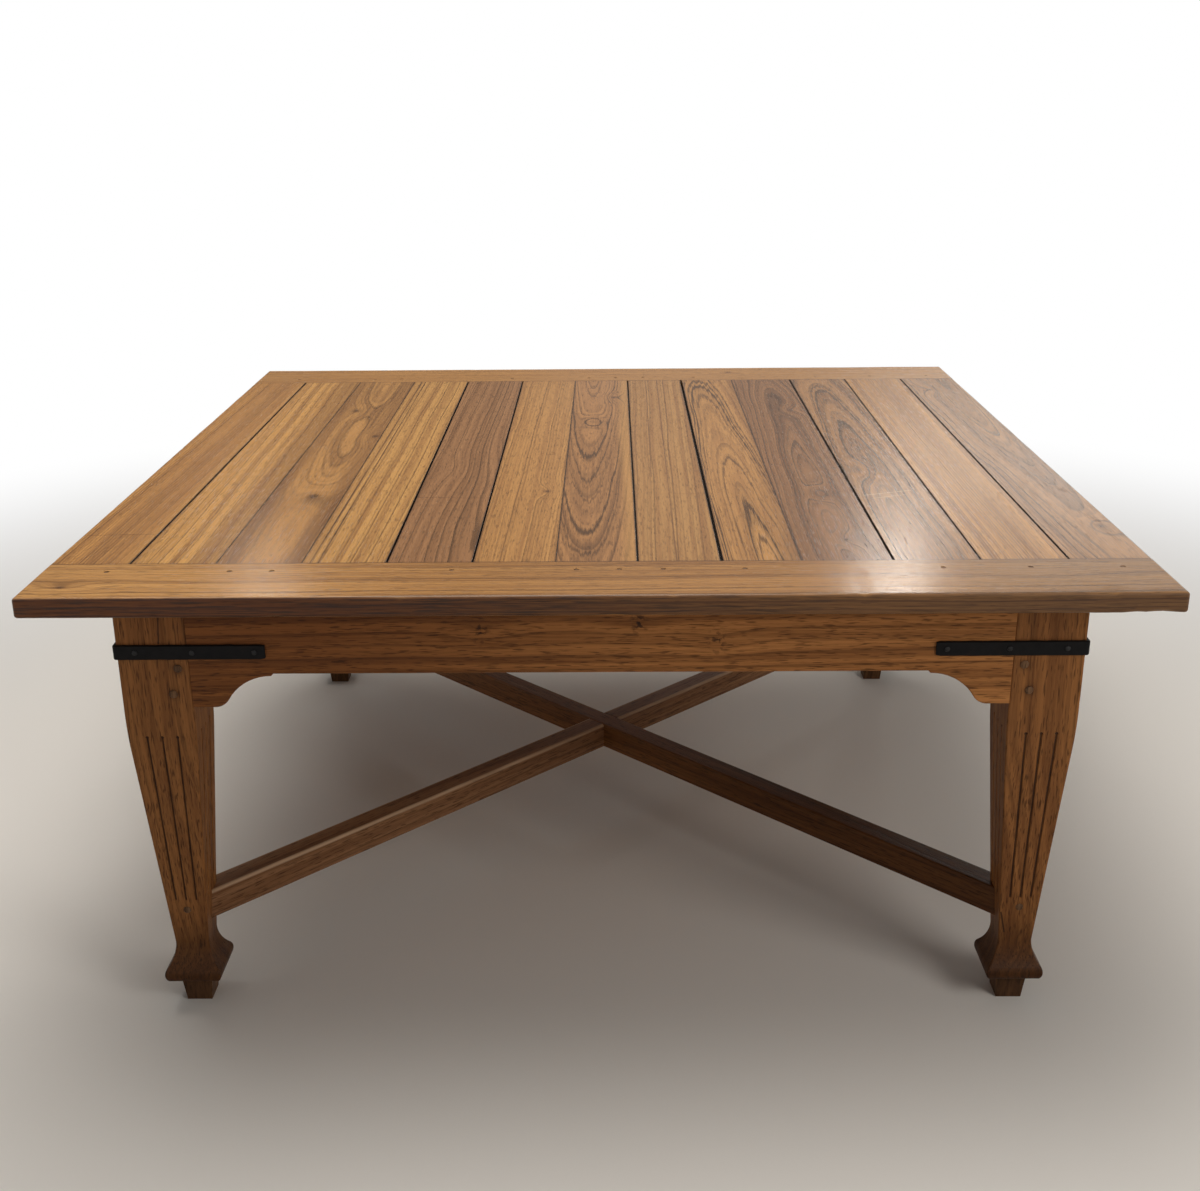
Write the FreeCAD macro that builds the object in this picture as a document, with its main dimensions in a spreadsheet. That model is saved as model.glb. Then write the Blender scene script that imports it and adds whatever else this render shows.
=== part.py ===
import FreeCAD, Part
import math
import operator
import os
import types

import Sketcher
from FreeCAD import Placement, Rotation, Vector

# Square extending dining table in solid teak, in millimetres, +Z up.
# The origin is on the floor under the middle of the top, and the front of the table faces -Y.
# A draw leaf lies under each half of the top, on two lopers, and slides out to the left or right.

# Driving dimensions

SIZES = {
    "top_side": 1700,
    "table_height": 780,
    "top_thickness": 32,
    "top_round": 5,
    "breadboard_width": 155,
    "open_joint_ease": 1.2,
    "tight_joint_ease": 0.3,
    "edge_tongue": 9,
    "end_tongue": 55,
    "tongue_thickness": 9,
    "tongue_shoulder": 2,
    "tongue_end_room": 1,
    "groove_stop": 25,
    "breadboard_peg": 8,
    "breadboard_peg_inset": 37,
    "breadboard_peg_length": 27,
    "overhang": 105,
    "post": 110,
    "taper_start": 45,
    "shoulder": 35,
    "ankle_width": 56,
    "flare_height": 46,
    "nose_height": 22,
    "nose_width": 94,
    "nose_bulge": 20,
    "nose_peak": 12,
    "sole_round": 4,
    "leg_round": 3,
    "flute_start": 7,
    "flute_end": 85,
    "flute_radius": 2.2,
    "flute_stop_radius": 3,
    "flute_depth": 2,
    "flute_top_pitch": 24,
    "flute_bottom_pitch": 17,
    "foot_height": 50,
    "foot_seat_width": 52,
    "foot_floor_width": 42,
    "foot_dowel": 20,
    "foot_dowel_length": 25,
    "apron_thickness": 32,
    "apron_height": 132,
    "apron_round": 2,
    "bracket_drop": 56,
    "bracket_flat": 34,
    "bracket_nose": 26,
    "bracket_nick": 4,
    "ogee_run": 91,
    "tenon_thickness": 12,
    "tenon_length": 60,
    "tenon_rise": 14,
    "tenon_drop": 14,
    "apron_peg": 13,
    "apron_peg_drop": 16,
    "apron_peg_pitch": 43,
    "upper_peg_inset": 18,
    "lower_peg_inset": 29,
    "peg_depth": 40,
    "peg_proud": 2,
    "peg_dome": 1.2,
    "strap_height": 24,
    "strap_thickness": 5,
    "strap_arm": 230,
    "strap_drop": 94,
    "strap_bend": 4,
    "strap_round": 0.8,
    "nail_shank": 3.2,
    "nail_length": 26,
    "nail_head": 9,
    "nail_head_flat": 4.5,
    "nail_head_height": 1.8,
    "nail_corner_inset": 30,
    "nail_seam_inset": 8,
    "nail_end_margin": 16,
    "stretcher_top": 198,
    "stretcher_height": 50,
    "stretcher_width": 45,
    "stretcher_round": 4,
    "stretcher_tenon_thickness": 14,
    "stretcher_tenon_height": 34,
    "stretcher_tenon_reach": 12,
    "stretcher_peg": 12,
    "stretcher_peg_drop": 15,
    "stretcher_peg_depth": 50,
    "rail_thickness": 44,
    "rail_under": 25,
    "rail_tenon_length": 12,
    "rail_tenon_thickness": 24,
    "rail_tenon_height": 50,
    "rail_screw_near": 180,
    "rail_screw_far": 520,
    "rail_counterbore": 40,
    "leaf_thickness": 22,
    "leaf_top_gap": 1,
    "leaf_apron_gap": 1,
    "leaf_side_gap": 3,
    "leaf_rail_gap": 2,
    "leaf_lip": 15,
    "leaf_round": 3,
    "leaf_draw": 560,
    "loper_width": 45,
    "loper_height": 40,
    "loper_relief": 4,
    "loper_end_inset": 3,
    "loper_lane": 300,
    "loper_lane_pitch": 80,
    "loper_counterbore": 14,
    "running_gap": 0.3,
    "stop_peg": 12,
    "stop_peg_drop": 12,
    "stop_peg_hold": 30,
    "stop_peg_margin": 12,
    "button_width": 40,
    "button_leaf_gap": 23,
    "button_thickness": 20,
    "button_tongue": 10,
    "button_tongue_thickness": 8,
    "button_tongue_drop": 6,
    "button_screw_margin": 18,
    "button_slot_room": 2,
    "screw_shank": 5,
    "screw_head": 9,
    "screw_head_flat": 7,
    "screw_head_height": 4,
    "screw_bite": 14,
    "counterbore": 11,
    "fit_gap": 0.1,
}

# How far each top board is from an equal share of the width, and the gap to its right-hand neighbour.
BOARD_TRIM = [-5, 3, 3, 0, 1, -2, -4, -3, -9, 11, 2, 4, -1]
BOARD_GAP = [2, 0, 0, 2.5, 2, 0, 2, 4, 0, 2.5, 1.5, 2]
BOARD_COUNT = len(BOARD_TRIM)

# Breadboard pegs: the board each one holds, and how far to the right of that board's middle it is.
BREADBOARD_PEGS = [(1, 39), (3, -36), (3, 28), (5, 38), (7, -30), (7, 35), (8, -26), (9, -30), (11, 1),
                   (12, -1), (13, 5)]

# The boards that the buttons are screwed to, and the boards of one leaf.
BUTTON_BOARDS = (3, 5, 9, 11)
LEAF_BOARD_COUNT = 5

for number, trim in enumerate(BOARD_TRIM, 1):
    SIZES[f"board_trim_{number:02}"] = trim
for number, gap in enumerate(BOARD_GAP, 1):
    SIZES[f"board_gap_{number:02}"] = gap
for number, (board, offset) in enumerate(BREADBOARD_PEGS, 1):
    SIZES[f"peg_offset_{number:02}"] = offset

doc = FreeCAD.newDocument("dining_table")
sheet = doc.addObject("Spreadsheet::Sheet", "dims")
for row, (alias, amount) in enumerate(SIZES.items(), 1):
    sheet.set(f"A{row}", alias)
    sheet.set(f"B{row}", str(amount))
    sheet.setAlias(f"B{row}", alias)
doc.recompute()


# Sizes as expressions on the sheet

class Size:
    """A length with its number and the sheet expression that gives it."""

    def __init__(self, value, text):
        self.value = value
        self.text = text

    def __add__(self, other):
        return combined(self, "+", other)

    def __radd__(self, other):
        return combined(other, "+", self)

    def __sub__(self, other):
        return combined(self, "-", other)

    def __rsub__(self, other):
        return combined(other, "-", self)

    def __mul__(self, other):
        return combined(self, "*", other)

    def __rmul__(self, other):
        return combined(other, "*", self)

    def __truediv__(self, other):
        return combined(self, "/", other)

    def __neg__(self):
        return combined(-1, "*", self)


OPERATIONS = {"+": operator.add, "-": operator.sub, "*": operator.mul, "/": operator.truediv}


def as_size(amount):
    return amount if isinstance(amount, Size) else Size(amount, repr(amount))


def combined(first, sign, second):
    first = as_size(first)
    second = as_size(second)
    return Size(OPERATIONS[sign](first.value, second.value), f"({first.text} {sign} {second.text})")


def root(amount):
    return Size(math.sqrt(amount.value), f"sqrt({amount.text})")


d = types.SimpleNamespace(**{alias: Size(amount, f"dims.{alias}") for alias, amount in SIZES.items()})


# Shapes bound to the sheet

nodes = {}


def node(label, piece):
    """Name a finished piece of the table."""
    piece.Label = label
    nodes[label] = piece
    return piece


def bind(piece, **amounts):
    for name, amount in amounts.items():
        piece.setExpression(name, as_size(amount).text)


def place(piece, point):
    for axis, amount in zip("xyz", point):
        piece.setExpression(f".Placement.Base.{axis}", as_size(amount).text)


def block(name, centre, size):
    """A squared piece about its centre."""
    piece = doc.addObject("Part::Box", name)
    bind(piece, Length=size[0], Width=size[1], Height=size[2])
    place(piece, [middle - extent / 2 for middle, extent in zip(centre, map(as_size, size))])
    return piece


def rod(name, start, direction, diameter, length):
    """A round piece from its start point along a direction."""
    piece = doc.addObject("Part::Cylinder", name)
    piece.Placement = Placement(Vector(), Rotation(Vector(0, 0, 1), Vector(*direction)))
    bind(piece, Radius=diameter / 2, Height=length)
    place(piece, start)
    return piece


def cone(name, start, direction, diameter, end_diameter, height):
    """A round tapering piece from its start point along a direction."""
    piece = doc.addObject("Part::Cone", name)
    piece.Placement = Placement(Vector(), Rotation(Vector(0, 0, 1), Vector(*direction)))
    bind(piece, Radius1=diameter / 2, Radius2=end_diameter / 2, Height=height)
    place(piece, start)
    return piece


def together(name, pieces):
    """Separate solids that share one group."""
    group = doc.addObject("Part::Compound", name)
    group.Links = pieces
    return group


def joined(name, pieces):
    whole = doc.addObject("Part::MultiFuse", name)
    whole.Shapes = pieces
    return whole


def less(name, piece, cutters):
    """A piece with the cutters' room taken out of it: the cutters don't overlap one another."""
    cut = doc.addObject("Part::Cut", name)
    cut.Base = piece
    cut.Tool = together(f"{name}_cutters", cutters)
    return cut


def mirrored(name, piece, normal):
    copy = doc.addObject("Part::Mirroring", name)
    copy.Source = piece
    copy.Normal = Vector(*normal)
    return copy


ACROSS = (1, 0, 0)
ALONG = (0, 1, 0)
UP = (0, 0, 1)
DOWN = (0, 0, -1)
CORNERS = ("back_right", "front_right", "back_left", "front_left")


def backwards(direction):
    return tuple(-part for part in direction)


def moved(point, direction, distance):
    """A point moved along a direction."""
    return [level + part * distance for level, part in zip(point, direction)]


def four_corners(name, piece):
    """The back right piece and its mirror images, in the order of CORNERS."""
    front_right = mirrored(f"{name}_front_right", piece, ALONG)
    back_left = mirrored(f"{name}_back_left", piece, ACROSS)
    front_left = mirrored(f"{name}_front_left", back_left, ALONG)
    return [piece, front_right, back_left, front_left]


def eased(name, piece, radius, chosen):
    """A piece with the chosen edges rounded."""
    doc.recompute()
    rounded = doc.addObject("Part::Fillet", name)
    rounded.Base = piece
    edges = enumerate(piece.Shape.Edges, 1)
    rounded.Edges = [(number, radius.value, radius.value) for number, edge in edges if chosen(edge)]
    return rounded


# Points closer than this are at the same level.
TOUCH = 0.01


def ends(edge, axis):
    """Where an edge's two ends lie along an axis."""
    return [getattr(vertex.Point, axis) for vertex in (edge.Vertexes[0], edge.Vertexes[-1])]


def lies_at(edge, axis, level):
    return all(math.isclose(end, level, abs_tol=TOUCH) for end in ends(edge, axis))


def runs_along(edge, axis):
    others = [other for other in "xyz" if other != axis]
    return all(math.isclose(*ends(edge, other), abs_tol=TOUCH) for other in others)


def outline(name, corners, frame):
    """A closed outline drawn anticlockwise, with every corner dimensioned from the sketch's origin.

    A corner is its place across, its level, and the radius of the arc to the next corner: a negative
    radius is a hollow arc, and none is a straight edge.
    """
    sketch = doc.addObject("Sketcher::SketchObject", name)
    sketch.Placement = frame
    points = [Vector(across.value, level.value, 0) for across, level, radius in corners]
    first_end = []
    for index, (across, level, radius) in enumerate(corners):
        start = points[index]
        end = points[(index + 1) % len(points)]
        if radius is None:
            sketch.addGeometry(Part.LineSegment(start, end))
            first_end.append(1)
            continue
        hollow = radius.value < 0
        tail, head = (end, start) if hollow else (start, end)
        chord = head - tail
        rise = math.sqrt(radius.value ** 2 - (chord.Length / 2) ** 2)
        centre = (tail + head) / 2 + Vector(-chord.y, chord.x, 0).normalize() * rise
        circle = Part.Circle(centre, Vector(0, 0, 1), abs(radius.value))
        sketch.addGeometry(Part.ArcOfCircle(circle, circle.parameter(tail), circle.parameter(head)))
        first_end.append(2 if hollow else 1)
    for index, (across, level, radius) in enumerate(corners):
        before = index - 1 if index else len(corners) - 1
        here = first_end[index]
        sketch.addConstraint(Sketcher.Constraint("Coincident", before, 3 - first_end[before], index, here))
        for kind, amount in (("DistanceX", across), ("DistanceY", level)):
            number = sketch.addConstraint(Sketcher.Constraint(kind, -1, 1, index, here, amount.value))
            sketch.setExpression(f"Constraints[{number}]", amount.text)
        if radius is not None:
            size = -radius if radius.value < 0 else radius
            number = sketch.addConstraint(Sketcher.Constraint("Radius", index, size.value))
            sketch.setExpression(f"Constraints[{number}]", size.text)
    return sketch


def slab(name, sketch, direction, thickness):
    """An outline made solid along a direction."""
    piece = doc.addObject("Part::Extrusion", name)
    piece.Base = sketch
    piece.DirMode = "Custom"
    piece.Dir = Vector(*direction)
    piece.Solid = True
    bind(piece, LengthFwd=thickness)
    return piece


# Upright planes that an outline is drawn on: facing the front, and facing the right
FRONT_PLANE = Rotation(Vector(1, 0, 0), 90)
SIDE_PLANE = Rotation(Vector(1, 1, 1), 120)

# Levels and places that several pieces share

top_under = d.table_height - d.top_thickness
board_end = d.top_side / 2 - d.breadboard_width
leg_face = d.top_side / 2 - d.overhang
leg_axis = leg_face - d.post / 2
leg_inside = leg_face - d.post
apron_inside = leg_face - d.apron_thickness
apron_middle = leg_face - d.apron_thickness / 2
bracket_bottom = top_under - d.apron_height - d.bracket_drop
taper_level = bracket_bottom - d.taper_start
nose_level = d.foot_height + d.nose_height
ankle_level = nose_level + d.flare_height
leg_slope = (d.post - d.ankle_width) / (2 * (taper_level - ankle_level))
leaf_under = top_under - d.leaf_top_gap - d.leaf_thickness
leaf_end = leg_inside - d.leaf_side_gap
loper_bottom = leaf_under - d.loper_height
side_top = leaf_under - d.leaf_apron_gap
tenon_bottom = bracket_bottom + d.tenon_rise
tenon_height = side_top - d.tenon_drop - tenon_bottom
tenon_level = tenon_bottom + tenon_height / 2
strap_level = top_under - d.strap_drop
nail_insets = (d.nail_corner_inset, d.post + d.nail_seam_inset, d.strap_arm - d.nail_end_margin)
stretcher_level = d.stretcher_top - d.stretcher_height / 2
rail_bottom = loper_bottom - d.rail_under
rail_height = top_under - rail_bottom
rail_level = top_under - rail_height / 2
rail_face = d.rail_thickness / 2
tongue_level = top_under + d.top_thickness / 2
play = 2 * d.fit_gap


# Pegs, nails and screws, each with the hole it sits in

def peg(name, face, outwards, diameter, depth):
    """A draw-bore peg driven in from a face, with its trimmed end standing proud."""
    shoulder = d.peg_proud - d.peg_dome
    start = moved(face, outwards, shoulder)
    shaft = rod(f"{name}_shaft", start, backwards(outwards), diameter, shoulder + depth)
    dome = cone(f"{name}_dome", start, outwards, diameter, diameter - 2 * d.peg_dome, d.peg_dome)
    return joined(name, [shaft, dome])


def hole(name, face, inwards, diameter, depth):
    """Room for a peg, nail or screw, a little wider and deeper than it is."""
    return rod(name, face, inwards, diameter + play, depth + d.fit_gap)


def headed(name, seat, inwards, shank, length, head, head_flat, head_height):
    """A nail or screw whose head sits on a seat and whose shank goes in."""
    outwards = backwards(inwards)
    body = rod(f"{name}_shank", moved(seat, outwards, d.fit_gap), inwards, shank, length + d.fit_gap)
    cap = cone(f"{name}_head", seat, outwards, head, head_flat, head_height)
    return joined(name, [body, cap])


def screw(name, seat, length):
    """A wood screw driven upwards."""
    return headed(name, seat, UP, d.screw_shank, length, d.screw_head, d.screw_head_flat, d.screw_head_height)


# Legs: a square post that bends into a taper, narrows to an ankle and flares out again to a square foot

SHOULDER_STEPS = 4
FLARE_STEPS = 5
NOSE_STEPS = 4


def leg_section(name, width, level):
    """The leg's square section at a level, with rounded corners."""
    near = leg_axis - width / 2
    far = leg_axis + width / 2
    after = near + d.leg_round
    before = far - d.leg_round
    section = outline(name, [
        (far, after, None),
        (far, before, d.leg_round),
        (before, far, None),
        (after, far, d.leg_round),
        (near, before, None),
        (near, after, d.leg_round),
        (after, near, None),
        (before, near, d.leg_round),
    ], Placement())
    place(section, (0, 0, level))
    return section


def lofted(name, sections, straight):
    """A solid through its sections, in straight runs or as one smooth curve."""
    piece = doc.addObject("Part::Loft", name)
    piece.Sections = sections
    piece.Solid = True
    piece.Ruled = straight
    return piece


shoulder_sections = []
for step in range(SHOULDER_STEPS + 1):
    share = step / SHOULDER_STEPS
    width = d.post - 2 * leg_slope * d.shoulder * (share * share)
    level = taper_level + d.shoulder * (1 - 2 * share)
    shoulder_sections.append(leg_section(f"shoulder_section_{step}", width, level))


def nose_width_at(rise):
    """How wide the bulging nose of the foot is at a height above its peak."""
    return d.nose_width - 2 * (d.nose_bulge - root(d.nose_bulge * d.nose_bulge - rise * rise))


flare_out = (nose_width_at(d.nose_height - d.nose_peak) - d.ankle_width) / 2
flare_radius = (flare_out * flare_out + d.flare_height * d.flare_height) / (2 * flare_out)
flare_sections = []
for step in range(FLARE_STEPS + 1):
    drop = d.flare_height * (step / FLARE_STEPS)
    width = d.ankle_width + 2 * (flare_radius - root(flare_radius * flare_radius - drop * drop))
    flare_sections.append(leg_section(f"flare_section_{step}", width, ankle_level - drop))
ankle_section = flare_sections[0]
nose_sections = [flare_sections[-1]]
for step in range(1, NOSE_STEPS + 1):
    rise = d.nose_height * (1 - step / NOSE_STEPS)
    width = nose_width_at(rise - d.nose_peak)
    nose_sections.append(leg_section(f"nose_section_{step}", width, d.foot_height + rise))
leg_runs = [
    lofted("leg_post", [leg_section("post_top_section", d.post, top_under), shoulder_sections[0]], True),
    lofted("leg_shoulder", shoulder_sections, False),
    lofted("leg_taper", [shoulder_sections[-1], ankle_section], True),
    lofted("leg_flare", flare_sections, False),
    lofted("leg_nose", nose_sections, False),
]
leg_blank = eased("leg_blank", joined("leg_runs", leg_runs), d.sole_round,
                  lambda edge: lies_at(edge, "z", d.foot_height.value))


def leg_reach(level):
    """How far the leg's tapering faces are from its axis at a level."""
    return d.ankle_width / 2 + leg_slope * (level - ankle_level)


def flute_cutters():
    """Three round-bottomed flutes on each face, each from a wider stop, drawing together as the leg narrows."""
    cutters = []
    flute_tips = ((taper_level - d.flute_start, d.flute_top_pitch),
                  (ankle_level + d.flute_end, d.flute_bottom_pitch))
    for quarter in range(4):
        turn = Rotation(Vector(0, 0, 1), 90 * quarter)
        for lane in (-1, 0, 1):
            tips = []
            for level, pitch in flute_tips:
                reach = leg_reach(level) + d.flute_radius - d.flute_depth
                tip = turn.multVec(Vector(reach.value, lane * pitch.value, level.value))
                tips.append(tip + Vector(leg_axis.value, leg_axis.value, 0))
            run = tips[1] - tips[0]
            groove = Part.makeCylinder(d.flute_radius.value, run.Length, tips[0], run)
            end_radii = (d.flute_stop_radius.value, d.flute_radius.value)
            balls = [Part.makeSphere(radius, tip) for radius, tip in zip(end_radii, tips)]
            cutters.append(groove.multiFuse(balls))
    return Part.makeCompound(cutters)


flutes = doc.addObject("Part::Feature", "leg_flutes")
flutes.Shape = flute_cutters()

# Tenons and their mortises: the aprons' square to the leg, the stretchers' on the diagonal

DIAGONAL = math.sqrt(0.5)


def diagonal_block(name, turn, length, width, height, level):
    """A bar along a diagonal of the table: turn 1 runs to the back right, and -1 to the front right."""
    piece = doc.addObject("Part::Box", name)
    piece.Placement = Placement(Vector(), Rotation(Vector(0, 0, 1), 45 * turn))
    bind(piece, Length=length, Width=width, Height=height)
    place(piece, (-DIAGONAL * (length - turn * width) / 2, -DIAGONAL * (turn * length + width) / 2,
                  level - height / 2))
    return piece


def long_tenon(name, gap):
    """The tenon at the right end of the back apron, rooted in its bracket."""
    length = d.bracket_flat + d.tenon_length + gap
    return block(name, (leg_inside - d.bracket_flat + length / 2, apron_middle, tenon_level),
                 (length, d.tenon_thickness + 2 * gap, tenon_height + 2 * gap))


def side_tenon(name, gap):
    """The tenon at the back end of the right apron, rooted in its bracket."""
    length = d.bracket_flat + d.tenon_length + gap
    return block(name, (apron_middle, leg_inside - d.bracket_flat + length / 2, tenon_level),
                 (d.tenon_thickness + 2 * gap, length, tenon_height + 2 * gap))


def stretcher_tenon(name, turn, gap):
    """The tenons at both ends of a stretcher, as one bar through it."""
    length = 2 * (leg_axis / DIAGONAL + d.stretcher_tenon_reach + gap)
    return diagonal_block(name, turn, length, d.stretcher_tenon_thickness + 2 * gap,
                          d.stretcher_tenon_height + 2 * gap, stretcher_level)


upper_peg_level = strap_level - d.strap_height / 2 - d.apron_peg_drop
peg_places = [(leg_inside + d.upper_peg_inset, upper_peg_level),
              (leg_inside + d.lower_peg_inset, upper_peg_level - d.apron_peg_pitch)]
peg_faces = [((across, leg_face, level), ALONG) for across, level in peg_places]
peg_faces += [((leg_face, across, level), ACROSS) for across, level in peg_places]
stretcher_peg_level = d.stretcher_top - d.stretcher_peg_drop
stretcher_peg_face = leg_axis + leg_reach(stretcher_peg_level)
nail_faces = [((leg_face - inset, leg_face, strap_level), ALONG) for inset in nail_insets]
nail_faces += [((leg_face, leg_face - inset, strap_level), ACROSS) for inset in nail_insets]


apron_peg_holes = [hole(f"apron_peg_hole_{number}", face, backwards(outwards), d.apron_peg, d.peg_depth)
                   for number, (face, outwards) in enumerate(peg_faces, 1)]
nail_depth = d.nail_length - d.strap_thickness
nail_holes = [hole(f"nail_hole_{number}", face, backwards(outwards), d.nail_shank, nail_depth)
              for number, (face, outwards) in enumerate(nail_faces, 1)]
stretcher_peg_seat = (leg_axis, stretcher_peg_face, stretcher_peg_level)
stretcher_peg_mouth = moved(stretcher_peg_seat, ALONG, d.peg_proud)
stretcher_peg_hole = hole("stretcher_peg_hole", stretcher_peg_mouth, backwards(ALONG), d.stretcher_peg,
                          d.peg_proud + d.stretcher_peg_depth)
foot_dowel_hole = hole("foot_dowel_hole", (leg_axis, leg_axis, d.foot_height), UP, d.foot_dowel,
                       d.foot_dowel_length)
mortises = [long_tenon("long_mortise", d.fit_gap), side_tenon("side_mortise", d.fit_gap),
            stretcher_tenon("stretcher_mortise", 1, d.fit_gap)]
leg_mortised = less("leg_mortised", leg_blank, [flutes, foot_dowel_hole] + mortises)
leg = less("leg", leg_mortised, [stretcher_peg_hole] + apron_peg_holes + nail_holes)
for corner, piece in zip(CORNERS, four_corners("leg", leg)):
    node(f"leg_{corner}", piece)

# Foot blocks: tapered blocks dowelled up into the feet

foot_taper = doc.addObject("Part::Wedge", "foot_taper")
foot_taper.Placement = Placement(Vector(), FRONT_PLANE)
bind(foot_taper, Ymin=0, Ymax=d.foot_height,
     Xmin=-d.foot_floor_width / 2, Xmax=d.foot_floor_width / 2,
     Zmin=-d.foot_floor_width / 2, Zmax=d.foot_floor_width / 2,
     X2min=-d.foot_seat_width / 2, X2max=d.foot_seat_width / 2,
     Z2min=-d.foot_seat_width / 2, Z2max=d.foot_seat_width / 2)
place(foot_taper, (leg_axis, leg_axis, 0))
foot_dowel = rod("foot_dowel_rod", (leg_axis, leg_axis, d.foot_height / 2), UP, d.foot_dowel,
                 d.foot_height / 2 + d.foot_dowel_length)
foot_block = joined("foot_block", [foot_taper, foot_dowel])
for corner, piece in zip(CORNERS, four_corners("foot_block", foot_block)):
    node(f"foot_block_{corner}", piece)

# Aprons: one board each, sawn to an ogee bracket at both ends

ogee_rise = d.bracket_drop - d.bracket_nick
ogee_radii = (d.ogee_run * d.ogee_run + ogee_rise * ogee_rise) / (2 * ogee_rise)
ogee_share = d.bracket_nose / ogee_radii
bracket_ogee = ogee_radii - d.bracket_nose


def apron_corners(top):
    """The apron's outline, the left bracket first."""
    flat_end = leg_inside - d.bracket_flat
    turn_across = flat_end - ogee_share * d.ogee_run
    turn_level = bracket_bottom + ogee_share * ogee_rise
    ogee_end = flat_end - d.ogee_run
    ogee_level = bracket_bottom + ogee_rise
    under = bracket_bottom + d.bracket_drop
    return [
        (-leg_inside, bracket_bottom, None),
        (-flat_end, bracket_bottom, d.bracket_nose),
        (-turn_across, turn_level, -bracket_ogee),
        (-ogee_end, ogee_level, None),
        (-(ogee_end - d.bracket_nick), under, None),
        (ogee_end - d.bracket_nick, under, None),
        (ogee_end, ogee_level, -bracket_ogee),
        (turn_across, turn_level, d.bracket_nose),
        (flat_end, bracket_bottom, None),
        (leg_inside, bracket_bottom, None),
        (leg_inside, top, None),
        (-leg_inside, top, None),
    ]


# Places of the top boards: the left edge and width of each, by its number from the left

board_trims = [getattr(d, f"board_trim_{number:02}") for number in range(1, BOARD_COUNT + 1)]
board_gaps = [getattr(d, f"board_gap_{number:02}") for number in range(1, BOARD_COUNT)] + [as_size(0)]
board_share = d.top_side
for trim, gap in zip(board_trims, board_gaps):
    board_share = board_share - trim - gap
board_share = board_share / BOARD_COUNT
board_left = -d.top_side / 2
board_places = {}
for number, (trim, gap) in enumerate(zip(board_trims, board_gaps), 1):
    board_width = board_share + trim
    board_places[number] = (board_left, board_width)
    board_left = board_left + board_width + gap

# Buttons, which hold the top to the front and back aprons, and the screws of buttons and centre rail

button_length = apron_inside - leaf_end - d.button_leaf_gap
button_level = top_under - d.button_thickness / 2
button_tongue_level = top_under - d.button_tongue_drop - d.button_tongue_thickness / 2
button_screw_y = apron_inside - button_length + d.button_screw_margin
buttons = []
button_slots = []
top_screws = []
top_screw_holes = []
for number in BUTTON_BOARDS:
    left, width = board_places[number]
    middle = left + width / 2
    name = f"button_{number:02}"
    body = block(f"{name}_body", (middle, apron_inside - button_length / 2, button_level),
                 (d.button_width, button_length, d.button_thickness))
    tongue = block(f"{name}_tongue", (middle, apron_inside, button_tongue_level),
                   (d.button_width, 2 * d.button_tongue, d.button_tongue_thickness))
    screw_seat = (middle, button_screw_y, top_under - d.button_thickness)
    screw_length = d.button_thickness + d.screw_bite
    top_screws.append(screw(f"{name}_screw", screw_seat, screw_length))
    screw_hole = hole(f"{name}_hole", screw_seat, UP, d.screw_shank, screw_length)
    top_screw_holes.append(screw_hole)
    buttons.append(less(name, joined(f"{name}_blank", [body, tongue]), [screw_hole]))
    button_slots.append(block(f"{name}_slot", (middle, apron_inside, button_tongue_level),
                              (d.button_width + 2 * d.button_slot_room, 2 * (d.button_tongue + d.fit_gap),
                               d.button_tongue_thickness + play)))
back_buttons = together("back_buttons", buttons)
node("top_buttons", together("top_buttons", [back_buttons, mirrored("front_buttons", back_buttons, ALONG)]))

rail_screws = []
rail_screw_holes = []
rail_counterbores = []
rail_screw_seat = rail_bottom + d.rail_counterbore
for number, distance in enumerate((d.rail_screw_near, d.rail_screw_far), 1):
    seat = (as_size(0), distance, rail_screw_seat)
    length = rail_height - d.rail_counterbore + d.screw_bite
    rail_screws.append(screw(f"rail_screw_{number}", seat, length))
    rail_screw_holes.append(hole(f"rail_screw_hole_{number}", seat, UP, d.screw_shank, length))
    rail_counterbores.append(rod(f"rail_counterbore_{number}", seat, DOWN, d.counterbore, d.rail_counterbore))
back_screws = together("back_screws", top_screws + rail_screws)
node("top_screws", together("top_screws", [back_screws, mirrored("front_screws", back_screws, ALONG)]))
back_screw_holes = together("back_screw_holes", top_screw_holes + rail_screw_holes)
front_screw_holes = mirrored("front_screw_holes", back_screw_holes, ALONG)

# Centre rail: stub-tenoned between the front and back aprons, with a mortise for each loper

rail_tenon_span = 2 * (apron_inside + d.rail_tenon_length)


def rail_tenons(name, gap):
    return block(name, (as_size(0), as_size(0), rail_level),
                 (d.rail_tenon_thickness + 2 * gap, rail_tenon_span + 2 * gap, d.rail_tenon_height + 2 * gap))


def loper_lanes(turn):
    """The two lines that a leaf's lopers run on, front first: one leaf is the other turned half round."""
    lanes = (turn * d.loper_lane, -turn * (d.loper_lane + d.loper_lane_pitch))
    return sorted(lanes, key=lambda lane: lane.value)


rail_body = block("rail_body", (as_size(0), as_size(0), rail_level),
                  (d.rail_thickness, 2 * apron_inside, rail_height))
guide_height = d.loper_height - d.loper_relief + 2 * d.running_gap
guide_level = loper_bottom + (d.loper_height - d.loper_relief) / 2
guides = [block(f"rail_guide_{index}", (as_size(0), lane, guide_level),
                (2 * d.rail_thickness, d.loper_width + 2 * d.running_gap, guide_height))
          for index, lane in enumerate(loper_lanes(1) + loper_lanes(-1), 1)]
rail_blank = joined("rail_blank", [rail_body, rail_tenons("rail_tenon_bar", as_size(0))])
rail_holes = together("rail_holes", rail_screw_holes + rail_counterbores)
rail = less("rail", rail_blank, guides + [rail_holes, mirrored("rail_front_holes", rail_holes, ALONG)])
node("centre_rail", rail)

# Front and back aprons


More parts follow.
